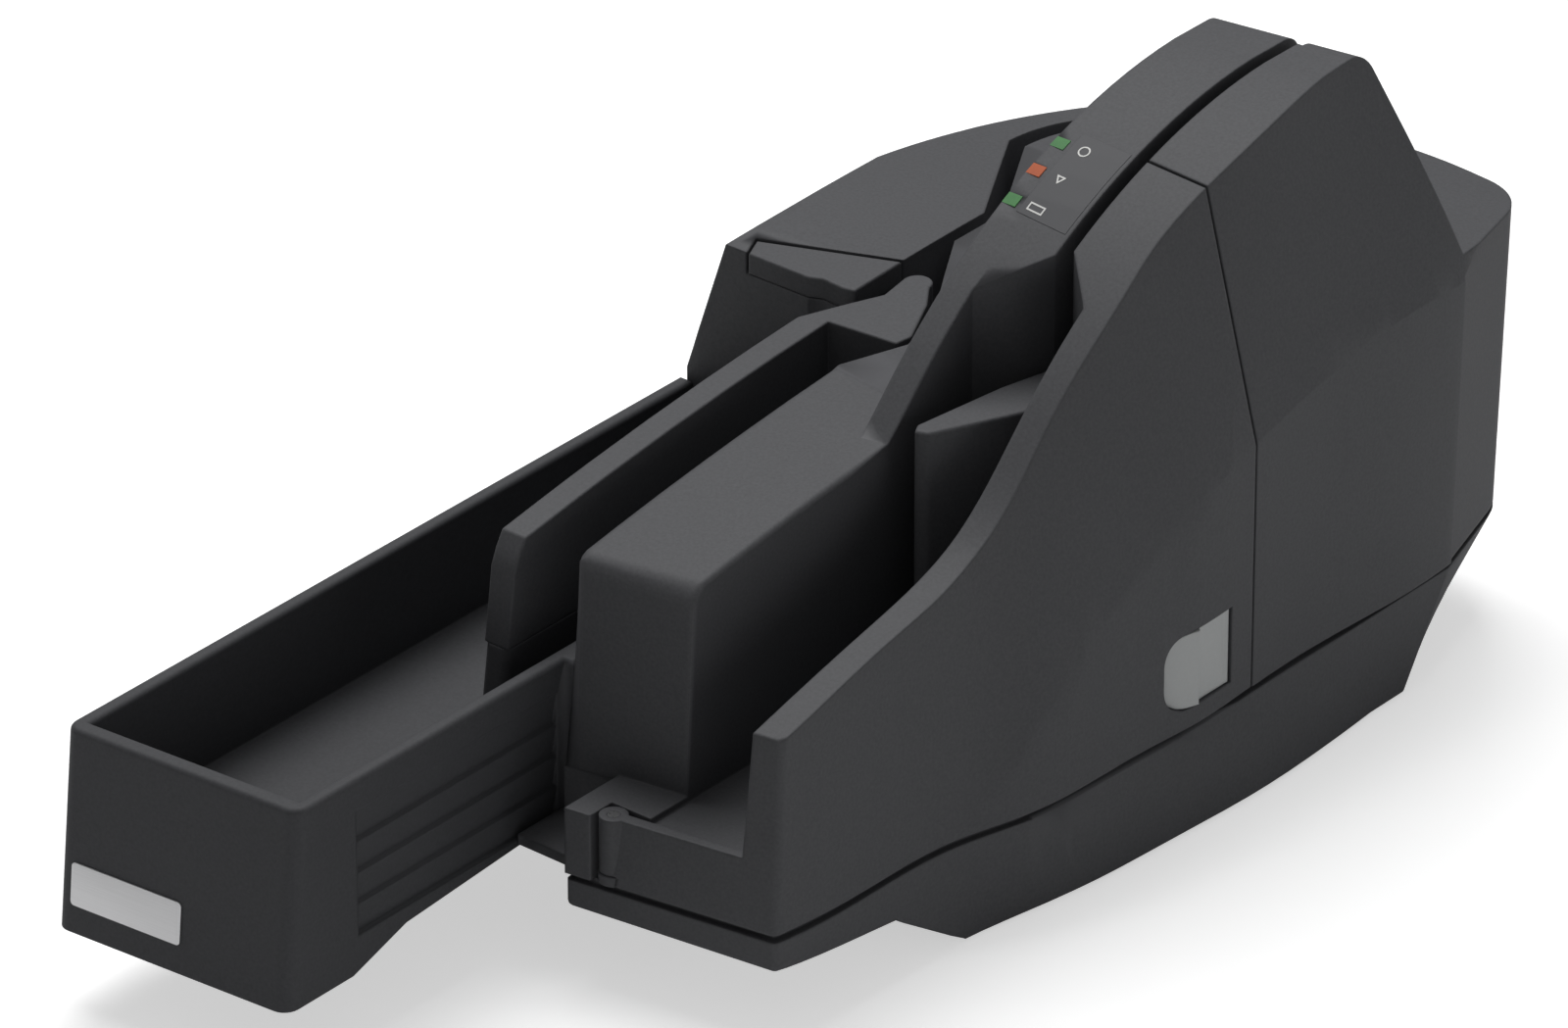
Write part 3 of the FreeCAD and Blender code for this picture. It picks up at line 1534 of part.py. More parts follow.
# ---------------------------------------------------------------- checks and export
doc.recompute()
bad = [f"{thing.Label}: {thing.State}" for thing in doc.Objects if "Invalid" in thing.State or "Error" in thing.State]
bad += [node.Label for node in NODES if node.Shape.isNull() or not node.Shape.isValid()]
if bad:
    raise RuntimeError(f"not sound: {bad}")
os.makedirs("parts", exist_ok=True)
for node in NODES:
    node.Shape.exportStep(f"parts/{node.Label}.step")
    print(node.Label, len(node.Shape.Solids), round(node.Shape.Volume, 1))
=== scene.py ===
import logging
import math
from collections.abc import Callable
from dataclasses import dataclass, field
from enum import Enum
from typing import Protocol

import bmesh
import bpy
from mathutils import Matrix, Vector


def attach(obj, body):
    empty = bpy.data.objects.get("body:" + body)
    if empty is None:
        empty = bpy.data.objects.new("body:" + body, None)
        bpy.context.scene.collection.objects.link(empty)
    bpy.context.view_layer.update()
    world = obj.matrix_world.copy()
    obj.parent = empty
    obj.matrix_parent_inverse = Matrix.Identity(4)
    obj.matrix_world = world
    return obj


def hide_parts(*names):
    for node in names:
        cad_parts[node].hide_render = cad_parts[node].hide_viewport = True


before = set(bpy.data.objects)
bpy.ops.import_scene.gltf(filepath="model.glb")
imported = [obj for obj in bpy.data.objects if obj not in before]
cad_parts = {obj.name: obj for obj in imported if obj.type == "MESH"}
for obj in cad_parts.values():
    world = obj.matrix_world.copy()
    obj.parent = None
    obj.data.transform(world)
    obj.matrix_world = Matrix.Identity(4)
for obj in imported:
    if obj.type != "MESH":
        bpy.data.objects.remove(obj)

LOG = logging.getLogger("cheque_scanner")
MM = 0.001
SMOOTH_ANGLE = math.radians(40.0)
FACING = 0.9

Colour = tuple[float, float, float]
PairTest = Callable[[Vector, Vector], bool]


# ---------------------------------------------------------------- shared helpers
def mm(x: float, y: float, z: float) -> Vector:
    """Place given in millimetres of the machine's own frame."""
    return Vector((x, y, z)) * MM


def deselect() -> None:
    """Leave nothing selected, in object mode."""
    if bpy.context.object is not None and bpy.context.object.mode != "OBJECT":
        bpy.ops.object.mode_set(mode="OBJECT")
    bpy.ops.object.select_all(action="DESELECT")


def focus(piece: bpy.types.Object) -> None:
    """Select one piece alone and make it the active one.

    Args:
        piece: the piece.
    """
    deselect()
    piece.select_set(True)
    bpy.context.view_layer.objects.active = piece


def pick(piece: bpy.types.Object, kind: str, wanted: PairTest) -> int:
    """Select some faces or edges of the active piece and leave it in edit mode.

    Args:
        piece: the mesh object being shaped.
        kind: FACE or EDGE.
        wanted: test of a face's centre and normal, or of an edge's two ends.

    Returns:
        How many are selected.
    """
    bpy.ops.object.mode_set(mode="EDIT")
    bpy.ops.mesh.select_mode(type=kind)
    bpy.ops.mesh.select_all(action="DESELECT")
    bpy.ops.object.mode_set(mode="OBJECT")
    mesh = piece.data
    if kind == "FACE":
        pairs = [(face, face.center, face.normal) for face in mesh.polygons]
    else:
        ends = mesh.vertices
        pairs = [(edge, *(ends[end].co for end in edge.vertices)) for edge in mesh.edges]
    count = 0
    for element, first, second in pairs:
        element.select = bool(wanted(first, second))
        count += element.select
    bpy.ops.object.mode_set(mode="EDIT")
    return count


def named(name: str) -> bpy.types.Object:
    """Name the active object and its mesh.

    Args:
        name: their name.

    Returns:
        The active object.
    """
    piece = bpy.context.object
    piece.name = name
    piece.data.name = name
    return piece


def settle(piece: bpy.types.Object) -> None:
    """Put a piece's place into its mesh, so that its object sits at the origin."""
    focus(piece)
    bpy.ops.object.transform_apply(location=True, rotation=True, scale=True)


def finish_modifiers(piece: bpy.types.Object) -> None:
    """Apply every modifier of a piece, in their order.

    Args:
        piece: the piece.
    """
    focus(piece)
    for modifier in list(piece.modifiers):
        bpy.ops.object.modifier_apply(modifier=modifier.name)


def dress(piece: bpy.types.Object, material: bpy.types.Material) -> None:
    """Give a piece one material all over."""
    piece.data.materials.clear()
    piece.data.materials.append(material)


def rgba(colour: Colour, gain: float = 1.0, lift: float = 0.0) -> tuple[float, ...]:
    """Make an opaque colour of a finish, lighter if wanted.

    Args:
        colour: red, green and blue.
        gain: what each of them is multiplied by.
        lift: what is then added to each.

    Returns:
        Red, green, blue and 1.
    """
    return (*(min(1.0, part * gain + lift) for part in colour), 1.0)


# ---------------------------------------------------------------- finishes
class Wire:
    """Short way to build one node tree. An input takes a plain value or a socket."""

    def __init__(self, tree: bpy.types.NodeTree) -> None:
        """Start on an existing tree."""
        self.tree = tree

    def feed(self, target: bpy.types.NodeSocket, value: object) -> None:
        """Link a socket into an input, or set the input's plain value.

        Args:
            target: the input.
            value: an output socket or a plain value.
        """
        if isinstance(value, bpy.types.NodeSocket):
            self.tree.links.new(value, target)
        else:
            target.default_value = value

    def node(
        self, kind: str, inputs: dict[str | int, object] | None = None, **settings: object
    ) -> bpy.types.Node:
        """Add a node.

        Args:
            kind: Blender's node type.
            inputs: what each input takes, by its name or number.
            settings: properties of the node by name.

        Returns:
            The new node.
        """
        made = self.tree.nodes.new(kind)
        for key, value in settings.items():
            setattr(made, key, value)
        for key, value in (inputs or {}).items():
            self.feed(made.inputs[key], value)
        return made

    def noise(
        self, vector: object, scale: object, detail: float = 2.0, roughness: float = 0.5
    ) -> bpy.types.NodeSocket:
        """Add a cloudy noise.

        Args:
            vector: the coordinates.
            scale: how fine it is.
            detail: how many finer layers it has.
            roughness: how strong the finer layers are.

        Returns:
            Its value.
        """
        inputs = {"Vector": vector, "Scale": scale, "Detail": detail, "Roughness": roughness}
        return self.node("ShaderNodeTexNoise", inputs).outputs["Fac"]

    def cells(self, vector: object, scale: object) -> bpy.types.NodeSocket:
        """Add a soft cellular pattern and return the distance to its cells' centres."""
        inputs = {"Vector": vector, "Scale": scale}
        return self.node("ShaderNodeTexVoronoi", inputs, feature="SMOOTH_F1").outputs["Distance"]

    def work(self, operation: str, first: object, second: object) -> bpy.types.NodeSocket:
        """Add one step of arithmetic and return its result."""
        return self.node("ShaderNodeMath", {0: first, 1: second}, operation=operation).outputs[0]

    def spread(self, value: object, low: float, high: float) -> bpy.types.NodeSocket:
        """Map a value between 0 and 1 to one between low and high."""
        inputs = {"Value": value, "To Min": low, "To Max": high}
        return self.node("ShaderNodeMapRange", inputs).outputs["Result"]


class Coat(Wire):
    """One material under construction."""

    def __init__(self, name: str) -> None:
        """Start the material.

        Args:
            name: its name.
        """
        self.material = bpy.data.materials.new(name)
        self.material.use_nodes = True
        super().__init__(self.material.node_tree)

    def place(self) -> bpy.types.NodeSocket:
        """Object coordinates."""
        return self.node("ShaderNodeTexCoord").outputs["Object"]

    def blend(
        self, factor: object, first: object, second: object, **settings: str
    ) -> bpy.types.NodeSocket:
        """Mix two colours.

        Args:
            factor: how much of the second.
            first: the first colour.
            second: the second colour.
            settings: properties of the mixing node.

        Returns:
            The mixed colour.
        """
        inputs = {0: factor, 6: first, 7: second}
        return self.node("ShaderNodeMix", inputs, data_type="RGBA", **settings).outputs[2]

    def bump(
        self, height: object, strength: float, relief: float, **under: object
    ) -> bpy.types.NodeSocket:
        """Turn a height into a normal.

        Args:
            height: the height, between 0 and 1.
            strength: how strongly it shows.
            relief: what a height of 1 means, in millimetres.
            under: the normal below it, as Normal, if there is one.

        Returns:
            The normal.
        """
        inputs = {"Strength": strength, "Distance": relief * MM, "Height": height, **under}
        return self.node("ShaderNodeBump", inputs).outputs["Normal"]

    def shade(self, values: dict[str, object]) -> bpy.types.Material:
        """Fill the shader's inputs.

        Args:
            values: what each input takes, by name.

        Returns:
            The finished material.
        """
        shader = self.tree.nodes["Principled BSDF"]
        for key, value in values.items():
            self.feed(shader.inputs[key], value)
        return self.material


class SharedGroup(Wire):
    """One node group under construction, with its entry and exit."""

    def __init__(self, name: str, taken: dict[str, str], given: tuple[str, ...]) -> None:
        """Start the group.

        Args:
            name: the group's name.
            taken: its inputs, each with the kind of its socket.
            given: its outputs, all plain numbers.
        """
        group = bpy.data.node_groups.new(name, "ShaderNodeTree")
        for key, kind in taken.items():
            group.interface.new_socket(key, in_out="INPUT", socket_type=f"NodeSocket{kind}")
        for key in given:
            group.interface.new_socket(key, in_out="OUTPUT", socket_type="NodeSocketFloat")
        super().__init__(group)
        self.entry = self.node("NodeGroupInput").outputs
        self.exit = self.node("NodeGroupOutput").inputs


def moulded_grain() -> None:
    """Make the spark-eroded grain: a height for the bump and a tone near 1 for the colour."""
    taken = {"Vector": "Vector", "Grain Scale": "Float", "Speckle": "Float"}
    group = SharedGroup("moulded_grain", taken, ("Height", "Tone"))
    place, scale = group.entry["Vector"], group.entry["Grain Scale"]
    fine = group.noise(place, scale, detail=3.0, roughness=0.62)
    group.feed(group.exit["Height"], group.work("ADD", fine, group.cells(place, scale)))
    speckle = group.work("MULTIPLY", group.work("SUBTRACT", fine, 0.5), group.entry["Speckle"])
    drift = group.spread(group.noise(place, 26.0), 0.96, 1.04)
    group.feed(group.exit["Tone"], group.work("ADD", speckle, drift))


def edge_wear_and_highlight() -> None:
    """Make the mask that is near 1, in patches, where a rounded normal leaves the flat one; it
    marks edge wear and a painted highlight along rounded edges.
    """
    group = SharedGroup("edge_wear_and_highlight", {"Rounded Normal": "Vector"}, ("Mask",))
    flat = group.node("ShaderNodeNewGeometry").outputs["True Normal"]
    inputs = {0: group.entry["Rounded Normal"], 1: flat}
    turned = group.node("ShaderNodeVectorMath", inputs, operation="DOT_PRODUCT").outputs["Value"]
    inputs = {"Value": turned, "From Min": 0.985, "From Max": 0.80}
    edge = group.node("ShaderNodeMapRange", inputs).outputs["Result"]
    place = group.node("ShaderNodeTexCoord").outputs["Object"]
    patches = group.spread(group.noise(place, 90.0), 0.5, 1.0)
    group.feed(group.exit["Mask"], group.work("MULTIPLY", edge, patches))


@dataclass(frozen=True)
class MouldedPlastic:
    """Injection-moulded plastic with a spark-eroded grain and edges lighter in patches, partly
    handling wear and partly painted highlight.
    """

    name: str
    colour: Colour
    roughness: float = 0.62
    specular: float = 0.32
    depth: float = 0.22
    speckle: float = 0.55
    edge: float = 1.0
    # how much lighter the edges are painted: partly handling wear, partly a painted highlight
    # along rounded edges
    edge_wear_highlight_lift: float = 1.35
    grain: float = 1200.0
    relief: float = 0.06
    polish: float = 0.8

    def material(self) -> bpy.types.Material:
        """Build the finish.

        Returns:
            The material.
        """
        coat = Coat(self.name)
        groups = bpy.data.node_groups
        inputs = {"Vector": coat.place(), "Grain Scale": self.grain, "Speckle": self.speckle}
        grain = coat.node("ShaderNodeGroup", inputs, node_tree=groups["moulded_grain"]).outputs
        rounded = coat.node("ShaderNodeBevel", {"Radius": self.edge * MM}, samples=6)
        inputs = {"Rounded Normal": rounded.outputs["Normal"]}
        edges = coat.node("ShaderNodeGroup", inputs, node_tree=groups["edge_wear_and_highlight"])
        wear_and_highlight = edges.outputs["Mask"]
        body = coat.blend(1.0, rgba(self.colour), grain["Tone"], blend_type="MULTIPLY")
        normal = coat.bump(
            grain["Height"], self.depth, self.relief, Normal=rounded.outputs["Normal"]
        )
        return coat.shade(
            {
                "Specular IOR Level": self.specular,
                # base colour lightened at the edges: partly handling wear, partly a painted
                # highlight along rounded edges
                "Base Color": coat.blend(wear_and_highlight, body, rgba(self.colour, self.edge_wear_highlight_lift)),
                "Roughness": coat.spread(wear_and_highlight, self.roughness, self.roughness * self.polish),
                "Normal": normal,
            }
        )


@dataclass(frozen=True)
class BrushedMetal:
    """Metal with fine lines in one direction."""

    name: str
    colour: Colour
    roughness: float = 0.3
    stretch: tuple[float, float, float] = (60.0, 60.0, 2400.0)
    depth: float = 0.1
    relief: float = 0.02

    def material(self) -> bpy.types.Material:
        """Build the finish.

        Returns:
            The material.
        """
        coat = Coat(self.name)
        inputs = {"Vector": coat.place(), "Scale": self.stretch}
        stretched = coat.node("ShaderNodeMapping", inputs).outputs["Vector"]
        lines = coat.noise(stretched, 1.0, detail=4.0)
        tone = coat.spread(lines, 0.9, 1.06)
        return coat.shade(
            {
                "Metallic": 1.0,
                "Base Color": coat.blend(1.0, rgba(self.colour), tone, blend_type="MULTIPLY"),
                "Roughness": coat.spread(lines, self.roughness * 0.8, self.roughness * 1.25),
                "Normal": coat.bump(lines, self.depth, self.relief),
            }
        )


@dataclass(frozen=True)
class Rubber:
    """Ground rubber: soft, matte and slightly dusty."""

    name: str
    colour: Colour
    dust: float = 0.35
    grain: float = 900.0
    patches: float = 60.0
    relief: float = 0.05

    def material(self) -> bpy.types.Material:
        """Build the finish.

        Returns:
            The material.
        """
        coat = Coat(self.name)
        place = coat.place()
        fine = coat.noise(place, self.grain, detail=5.0)
        mask = coat.work("MULTIPLY", coat.noise(place, self.patches), self.dust)
        dusty = rgba(self.colour, gain=2.6, lift=0.01)
        return coat.shade(
            {
                "Specular IOR Level": 0.25,
                "Base Color": coat.blend(mask, rgba(self.colour), dusty),
                "Roughness": coat.spread(fine, 0.7, 0.92),
                "Normal": coat.bump(fine, 0.35, self.relief),
            }
        )


@dataclass(frozen=True)
class LampLens:
    """Lens over a lamp, cloudily tinted and with a moulded dapple."""

    name: str
    deep: Colour
    bright: Colour
    dapple: float = 520.0
    cloud: float = 240.0
    relief: float = 0.08

    def material(self) -> bpy.types.Material:
        """Build the finish.

        Returns:
            The material.
        """
        coat = Coat(self.name)
        place = coat.place()
        cloud = coat.noise(place, self.cloud)
        body = coat.blend(cloud, rgba(self.deep), rgba(self.bright))
        return coat.shade(
            {
                "Specular IOR Level": 0.16,
                "Base Color": body,
                "Emission Color": body,
                "Emission Strength": 0.12,
                "Roughness": coat.spread(cloud, 0.4, 0.6),
                "Normal": coat.bump(coat.cells(place, self.dapple), 0.3, self.relief),
            }
        )


@dataclass(frozen=True)
class CircuitLacquer:
    """Green lacquered board with traces under the lacquer."""

    name: str
    base: Colour = (0.012, 0.085, 0.035)
    trace: Colour = (0.03, 0.16, 0.07)
    relief: float = 0.05

    def material(self) -> bpy.types.Material:
        """Build the finish.

        Returns:
            The material.
        """
        coat = Coat(self.name)
        inputs = {
            "Vector": coat.place(),
            "Scale": 60.0,
            "Mortar Size": 0.035,
            "Color1": rgba(self.base),
            "Color2": rgba(self.base, gain=1.2),
            "Mortar": rgba(self.trace),
        }
        tracks = coat.node("ShaderNodeTexBrick", inputs).outputs
        return coat.shade(
            {
                "Coat Weight": 0.5,
                "Roughness": 0.45,
                "Base Color": tracks["Color"],
                "Normal": coat.bump(tracks["Fac"], 0.2, self.relief),
            }
        )


class Finish(Enum):
    """The finishes that the machine's pieces can have."""

    CHARCOAL = MouldedPlastic("charcoal_shell", (0.083, 0.084, 0.090))
    POCKET = MouldedPlastic("charcoal_pocket", (0.060, 0.061, 0.066), roughness=0.66)
    INNER = MouldedPlastic(
        "black_inner", (0.022, 0.022, 0.024), roughness=0.5, depth=0.08, speckle=0.15
    )
    LABEL = MouldedPlastic(
        "status_film",
        (0.073, 0.074, 0.080),
        roughness=0.56,
        specular=0.3,
        depth=0.03,
        speckle=0.08,
        edge=0.2,
    )
    PRINT = MouldedPlastic(
        "white_print",
        (0.72, 0.72, 0.70),
        roughness=0.5,
        depth=0.03,
        speckle=0.05,
        edge=0.1,
        edge_wear_highlight_lift=1.0,
    )
    LIGHT_GREY = MouldedPlastic(
        "light_grey_lever",
        (0.50, 0.515, 0.515),
        roughness=0.42,
        specular=0.45,
        depth=0.05,
        speckle=0.10,
        edge=0.8,
        edge_wear_highlight_lift=1.12,
    )
    PLATE = BrushedMetal(
        "plain_plate", (0.78, 0.78, 0.79), roughness=0.42, stretch=(70.0, 70.0, 2600.0), depth=0.12
    )
    STEEL = BrushedMetal(
        "ground_steel", (0.56, 0.56, 0.57), roughness=0.28, stretch=(900.0, 900.0, 60.0)
    )
    SCREW = BrushedMetal(
        "zinc_screw", (0.40, 0.40, 0.42), roughness=0.38, stretch=(500.0, 500.0, 500.0)
    )
    TYRE = Rubber("roller_rubber", (0.030, 0.030, 0.032))
    FOOT = Rubber("foot_rubber", (0.018, 0.018, 0.018), dust=0.6)
    GREEN = LampLens("green_lens", (0.035, 0.13, 0.045), (0.10, 0.28, 0.10))
    ORANGE = LampLens("orange_lens", (0.30, 0.060, 0.022), (0.52, 0.13, 0.05))
    BOARD = CircuitLacquer("lacquered_board")

    def made(self) -> bpy.types.Material:
        """The material of this finish, built on its first use."""
        found = bpy.data.materials.get(self.value.name)
        return found if found is not None else self.value.material()


# ---------------------------------------------------------------- sub-assemblies
class Builder(Protocol):
    """Anything that models pieces of the machine."""

    def build(self) -> list[bpy.types.Object]:
        """Model the pieces and return them."""


@dataclass(frozen=True)
class EdgeRun:
    """Sharp edges that share one rounding, found by the box round their middles.

    They are outward edges, or inward ones if the run says so. All lengths are millimetres.
    """

    low: tuple[float, float, float]
    high: tuple[float, float, float]
    radius: float
    segments: int = 4
    inward: bool = False
    clamp: bool = True

    def holds(self, middle: Vector) -> bool:
        """Whether an edge's middle, in millimetres, lies in the box."""
        return all(a <= value <= b for a, value, b in zip(self.low, middle, self.high))


@dataclass(frozen=True)
class SeamFace:
    """A flat face at a parting that faces right, and how far it closes up to its neighbour."""

    place: float
    front: float
    rear: float
    reach: float = 0.27
    slack: float = 0.06

    def holds(self, centre: Vector, normal: Vector) -> bool:
        """Whether a face's centre and normal belong to this parting."""
        near = abs(centre.x / MM - self.place) < self.slack
        return near and normal.x > 0.99 and self.front <= centre.y / MM <= self.rear


@dataclass(frozen=True)
class RoundedShell:
    """A moulded shell with the roundings that its tool gives to its edges."""

    node: str
    finish: Finish
    runs: tuple[EdgeRun, ...]
    body: str = "base"
    slot: str = "shell"
    seams: tuple[SeamFace, ...] = ()
    sharpness: float = math.radians(26.0)
    weld: float = 0.001
    flatness: float = math.radians(0.6)

    def start(self) -> bpy.types.Object:
        """Copy the node and join its loose triangles into whole faces.

        Returns:
            The copy, active and in edit mode.
        """
        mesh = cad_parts[self.node].data.copy()
        piece = bpy.data.objects.new(f"{self.node}_shell", mesh)
        mesh.name = piece.name
        bpy.context.scene.collection.objects.link(piece)
        focus(piece)
        bpy.ops.object.mode_set(mode="EDIT")
        bpy.ops.mesh.select_all(action="SELECT")
        bpy.ops.mesh.remove_doubles(threshold=self.weld * MM)
        bpy.ops.mesh.dissolve_limited(angle_limit=self.flatness)
        return piece

    def pick_run(self, piece: bpy.types.Object, run: EdgeRun) -> int:
        """Select the sharp edges of one run.

        Args:
            piece: the shell, in edit mode.
            run: the run whose edges are wanted.

        Returns:
            How many edges are selected.
        """
        bpy.ops.mesh.select_mode(type="EDGE")
        bpy.ops.mesh.select_all(action="DESELECT")
        bpy.ops.mesh.edges_select_sharp(sharpness=self.sharpness)
        mesh = bmesh.from_edit_mesh(piece.data)
        wanted = []
        for edge in mesh.edges:
            middle = (edge.verts[0].co + edge.verts[1].co) / (2 * MM)
            if edge.select and edge.is_convex != run.inward and run.holds(middle):
                wanted.append(edge)
        for edge in mesh.edges:
            edge.select_set(False)
        for edge in wanted:
            edge.select_set(True)
        bmesh.update_edit_mesh(piece.data)
        return len(wanted)

    def build(self) -> list[bpy.types.Object]:
        """Close the seams and round the runs, in their order.

        Returns:
            The finished shell.
        """
        piece = self.start()
        for seam in self.seams:
            if pick(piece, "FACE", seam.holds):
                bpy.ops.transform.translate(value=(seam.reach * MM, 0.0, 0.0))
        counts = []
        for run in self.runs:
            counts.append(self.pick_run(piece, run))
            if counts[-1]:
                bpy.ops.mesh.bevel(
                    offset=run.radius * MM,
                    segments=run.segments,
                    affect="EDGES",
                    clamp_overlap=run.clamp,
                )
        bpy.ops.object.mode_set(mode="OBJECT")
        bpy.ops.object.shade_smooth_by_angle(angle=self.sharpness)
        level = piece.modifiers.new("Level", "WEIGHTED_NORMAL")
        level.keep_sharp = True
        finish_modifiers(piece)
        dress(piece, self.finish.made())
        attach(piece, self.body)
        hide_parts(self.node)
        LOG.info("%s: rounded %s edges", piece.name, counts)
        return [piece]


def shells() -> tuple[RoundedShell, ...]:
    """The shells whose edges are rounded, each with its runs of edges.

    Returns:
        The shells, in the order in which they are built.
    """
    return (
        RoundedShell(
            "centre_housing",
            Finish.CHARCOAL,
            (
                EdgeRun((-8.5, -92.0, 60.0), (9.5, -80.0, 102.6), 5.0, 6, clamp=False),
                EdgeRun((-8.5, -88.0, 102.0), (-7.5, 8.0, 113.2), 2.5),
                EdgeRun((25.3, -86.0, 60.0), (26.3, -9.0, 113.0), 1.5),
                EdgeRun((17.9, -9.0, 114.9), (18.7, 150.0, 172.5), 2.5, 5),
                EdgeRun((34.0, 25.0, 125.0), (40.3, 150.0, 172.5), 1.5),
                EdgeRun((25.3, -9.0, 113.0), (26.3, 30.0, 150.0), 1.2, 3),
                EdgeRun((6.0, -108.5, 30.0), (26.0, -84.0, 48.0), 0.8, 3),
            ),
        ),
        RoundedShell(
            "pocket_tray",
            Finish.POCKET,
            (
                EdgeRun((-81.5, -191.0, 40.0), (-80.5, -188.0, 52.0), 4.0, 6),
                EdgeRun((-11.5, -186.5, 40.0), (-10.5, -183.0, 52.0), 4.0, 6),
                EdgeRun((-82.0, -193.0, 72.5), (0.0, 39.0, 73.5), 1.4),
                EdgeRun((-82.0, -193.0, 19.5), (-10.0, -100.0, 28.9), 1.2, 3),
            ),
            seams=(SeamFace(-8.3, -90.0, 0.0),),
        ),
        RoundedShell(
            "divider_cap",
            Finish.CHARCOAL,
            (
                EdgeRun((-40.0, -100.0, 73.5), (0.0, 60.0, 120.0), 2.2, 5),
                EdgeRun((-40.0, -100.0, 72.0), (0.0, 60.0, 72.9), 0.4, 2),
            ),
        ),
        RoundedShell(
            "divider_base",
            Finish.POCKET,
            (EdgeRun((-40.0, -110.0, 44.0), (-20.0, -88.0, 71.9), 2.2, 5),),
        ),
        RoundedShell(
            "rear_cover",
            Finish.CHARCOAL,
            (
                EdgeRun((43.0, 68.0, 103.0), (80.0, 200.0, 172.5), 1.8),
                EdgeRun((-1.0, 180.0, 103.0), (43.0, 200.0, 120.0), 1.8),
                EdgeRun((43.0, 66.0, 90.0), (80.0, 67.4, 172.5), 0.5, 2),
            ),
        ),
        RoundedShell(
            "front_cover",
            Finish.CHARCOAL,
            (
                EdgeRun((62.3, -99.0, 35.0), (64.5, -93.5, 75.0), 3.0, 5),
                EdgeRun((54.6, -95.5, 79.5), (62.0, -93.0, 81.0), 3.5, 5),
                EdgeRun((54.6, -93.0, 79.0), (62.8, 65.5, 162.0), 1.8),
                EdgeRun((70.0, 31.4, 35.0), (77.5, 31.8, 35.6), 8.4, 10, inward=True),
                EdgeRun((70.0, 31.4, 56.2), (77.5, 31.8, 56.8), 8.4, 10, inward=True),
                EdgeRun((53.5, -99.5, 48.0), (54.5, 36.0, 150.0), 1.0, 3),
                EdgeRun((21.0, -104.5, 47.0), (54.5, -98.0, 48.2), 1.2, 3),
            ),
            body="front_cover",
        ),
        RoundedShell(
            "left_housing",
            Finish.CHARCOAL,
            (
                EdgeRun((-82.0, 38.6, 100.0), (-60.0, 190.0, 117.0), 2.5),
                EdgeRun((-80.0, 37.5, 50.0), (-66.0, 38.4, 108.0), 1.5, 3),
            ),
            seams=(SeamFace(2.0, 168.0, 192.0),),
        ),
        RoundedShell(
            "cartridge_lid",
            Finish.CHARCOAL,
            (EdgeRun((-70.0, 30.0, 114.0), (-20.0, 60.0, 116.0), 0.5, 2),),
            body="cartridge_lid",
        ),
        RoundedShell(
            "lower_case",
            Finish.CHARCOAL,
            (
                EdgeRun((5.0, -109.0, 15.0), (81.0, -50.0, 27.0), 1.5, 3),
                EdgeRun((-82.0, -110.0, 0.5), (82.0, 192.0, 1.5), 1.2, 3),
            ),
        ),
        RoundedShell(
            "latch_lever",
            Finish.LIGHT_GREY,
            (
                EdgeRun((74.0, 32.0, 35.4), (76.2, 32.4, 35.8), 8.1, 10),
                EdgeRun((74.0, 32.0, 56.0), (76.2, 32.4, 56.4), 8.1, 10),
                EdgeRun((75.4, 32.0, 35.0), (80.5, 57.0, 57.0), 0.5, 3),
            ),
            body="latch_lever",
            slot="light_grey",
        ),
        RoundedShell(
            "hopper_pusher",
            Finish.CHARCOAL,
            (EdgeRun((30.0, -12.0, 80.0), (52.0, 34.0, 119.0), 0.8, 3),),
            body="hopper_pusher",
        ),
    )


@dataclass(frozen=True)
class SocketPin:
    """Centre pin of the barrel socket in the left flank."""

    base: tuple[float, float, float] = (-70.6, 75.5, 45.5)
    radius: float = 1.0
    length: float = 7.4
    rounding: float = 0.45

    def build(self) -> list[bpy.types.Object]:
        """Model the pin with its rounded end outwards.

        Returns:
            The finished pin.
        """
        root, y, z = self.base
        deselect()
        bpy.ops.mesh.primitive_cylinder_add(
            vertices=32,
            radius=self.radius * MM,
            depth=self.length * MM,
            location=mm(root - self.length / 2, y, z),
            rotation=(0.0, -math.pi / 2, 0.0),
        )
        pin = named("socket_pin")
        settle(pin)
        pick(pin, "FACE", lambda centre, normal: normal.x < -FACING)
        bpy.ops.mesh.bevel(offset=self.radius * self.rounding * MM, segments=3, affect="EDGES")
        bpy.ops.object.mode_set(mode="OBJECT")
        bpy.ops.object.shade_smooth_by_angle(angle=SMOOTH_ANGLE)
        dress(pin, Finish.STEEL.made())
        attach(pin, "base")
        return [pin]


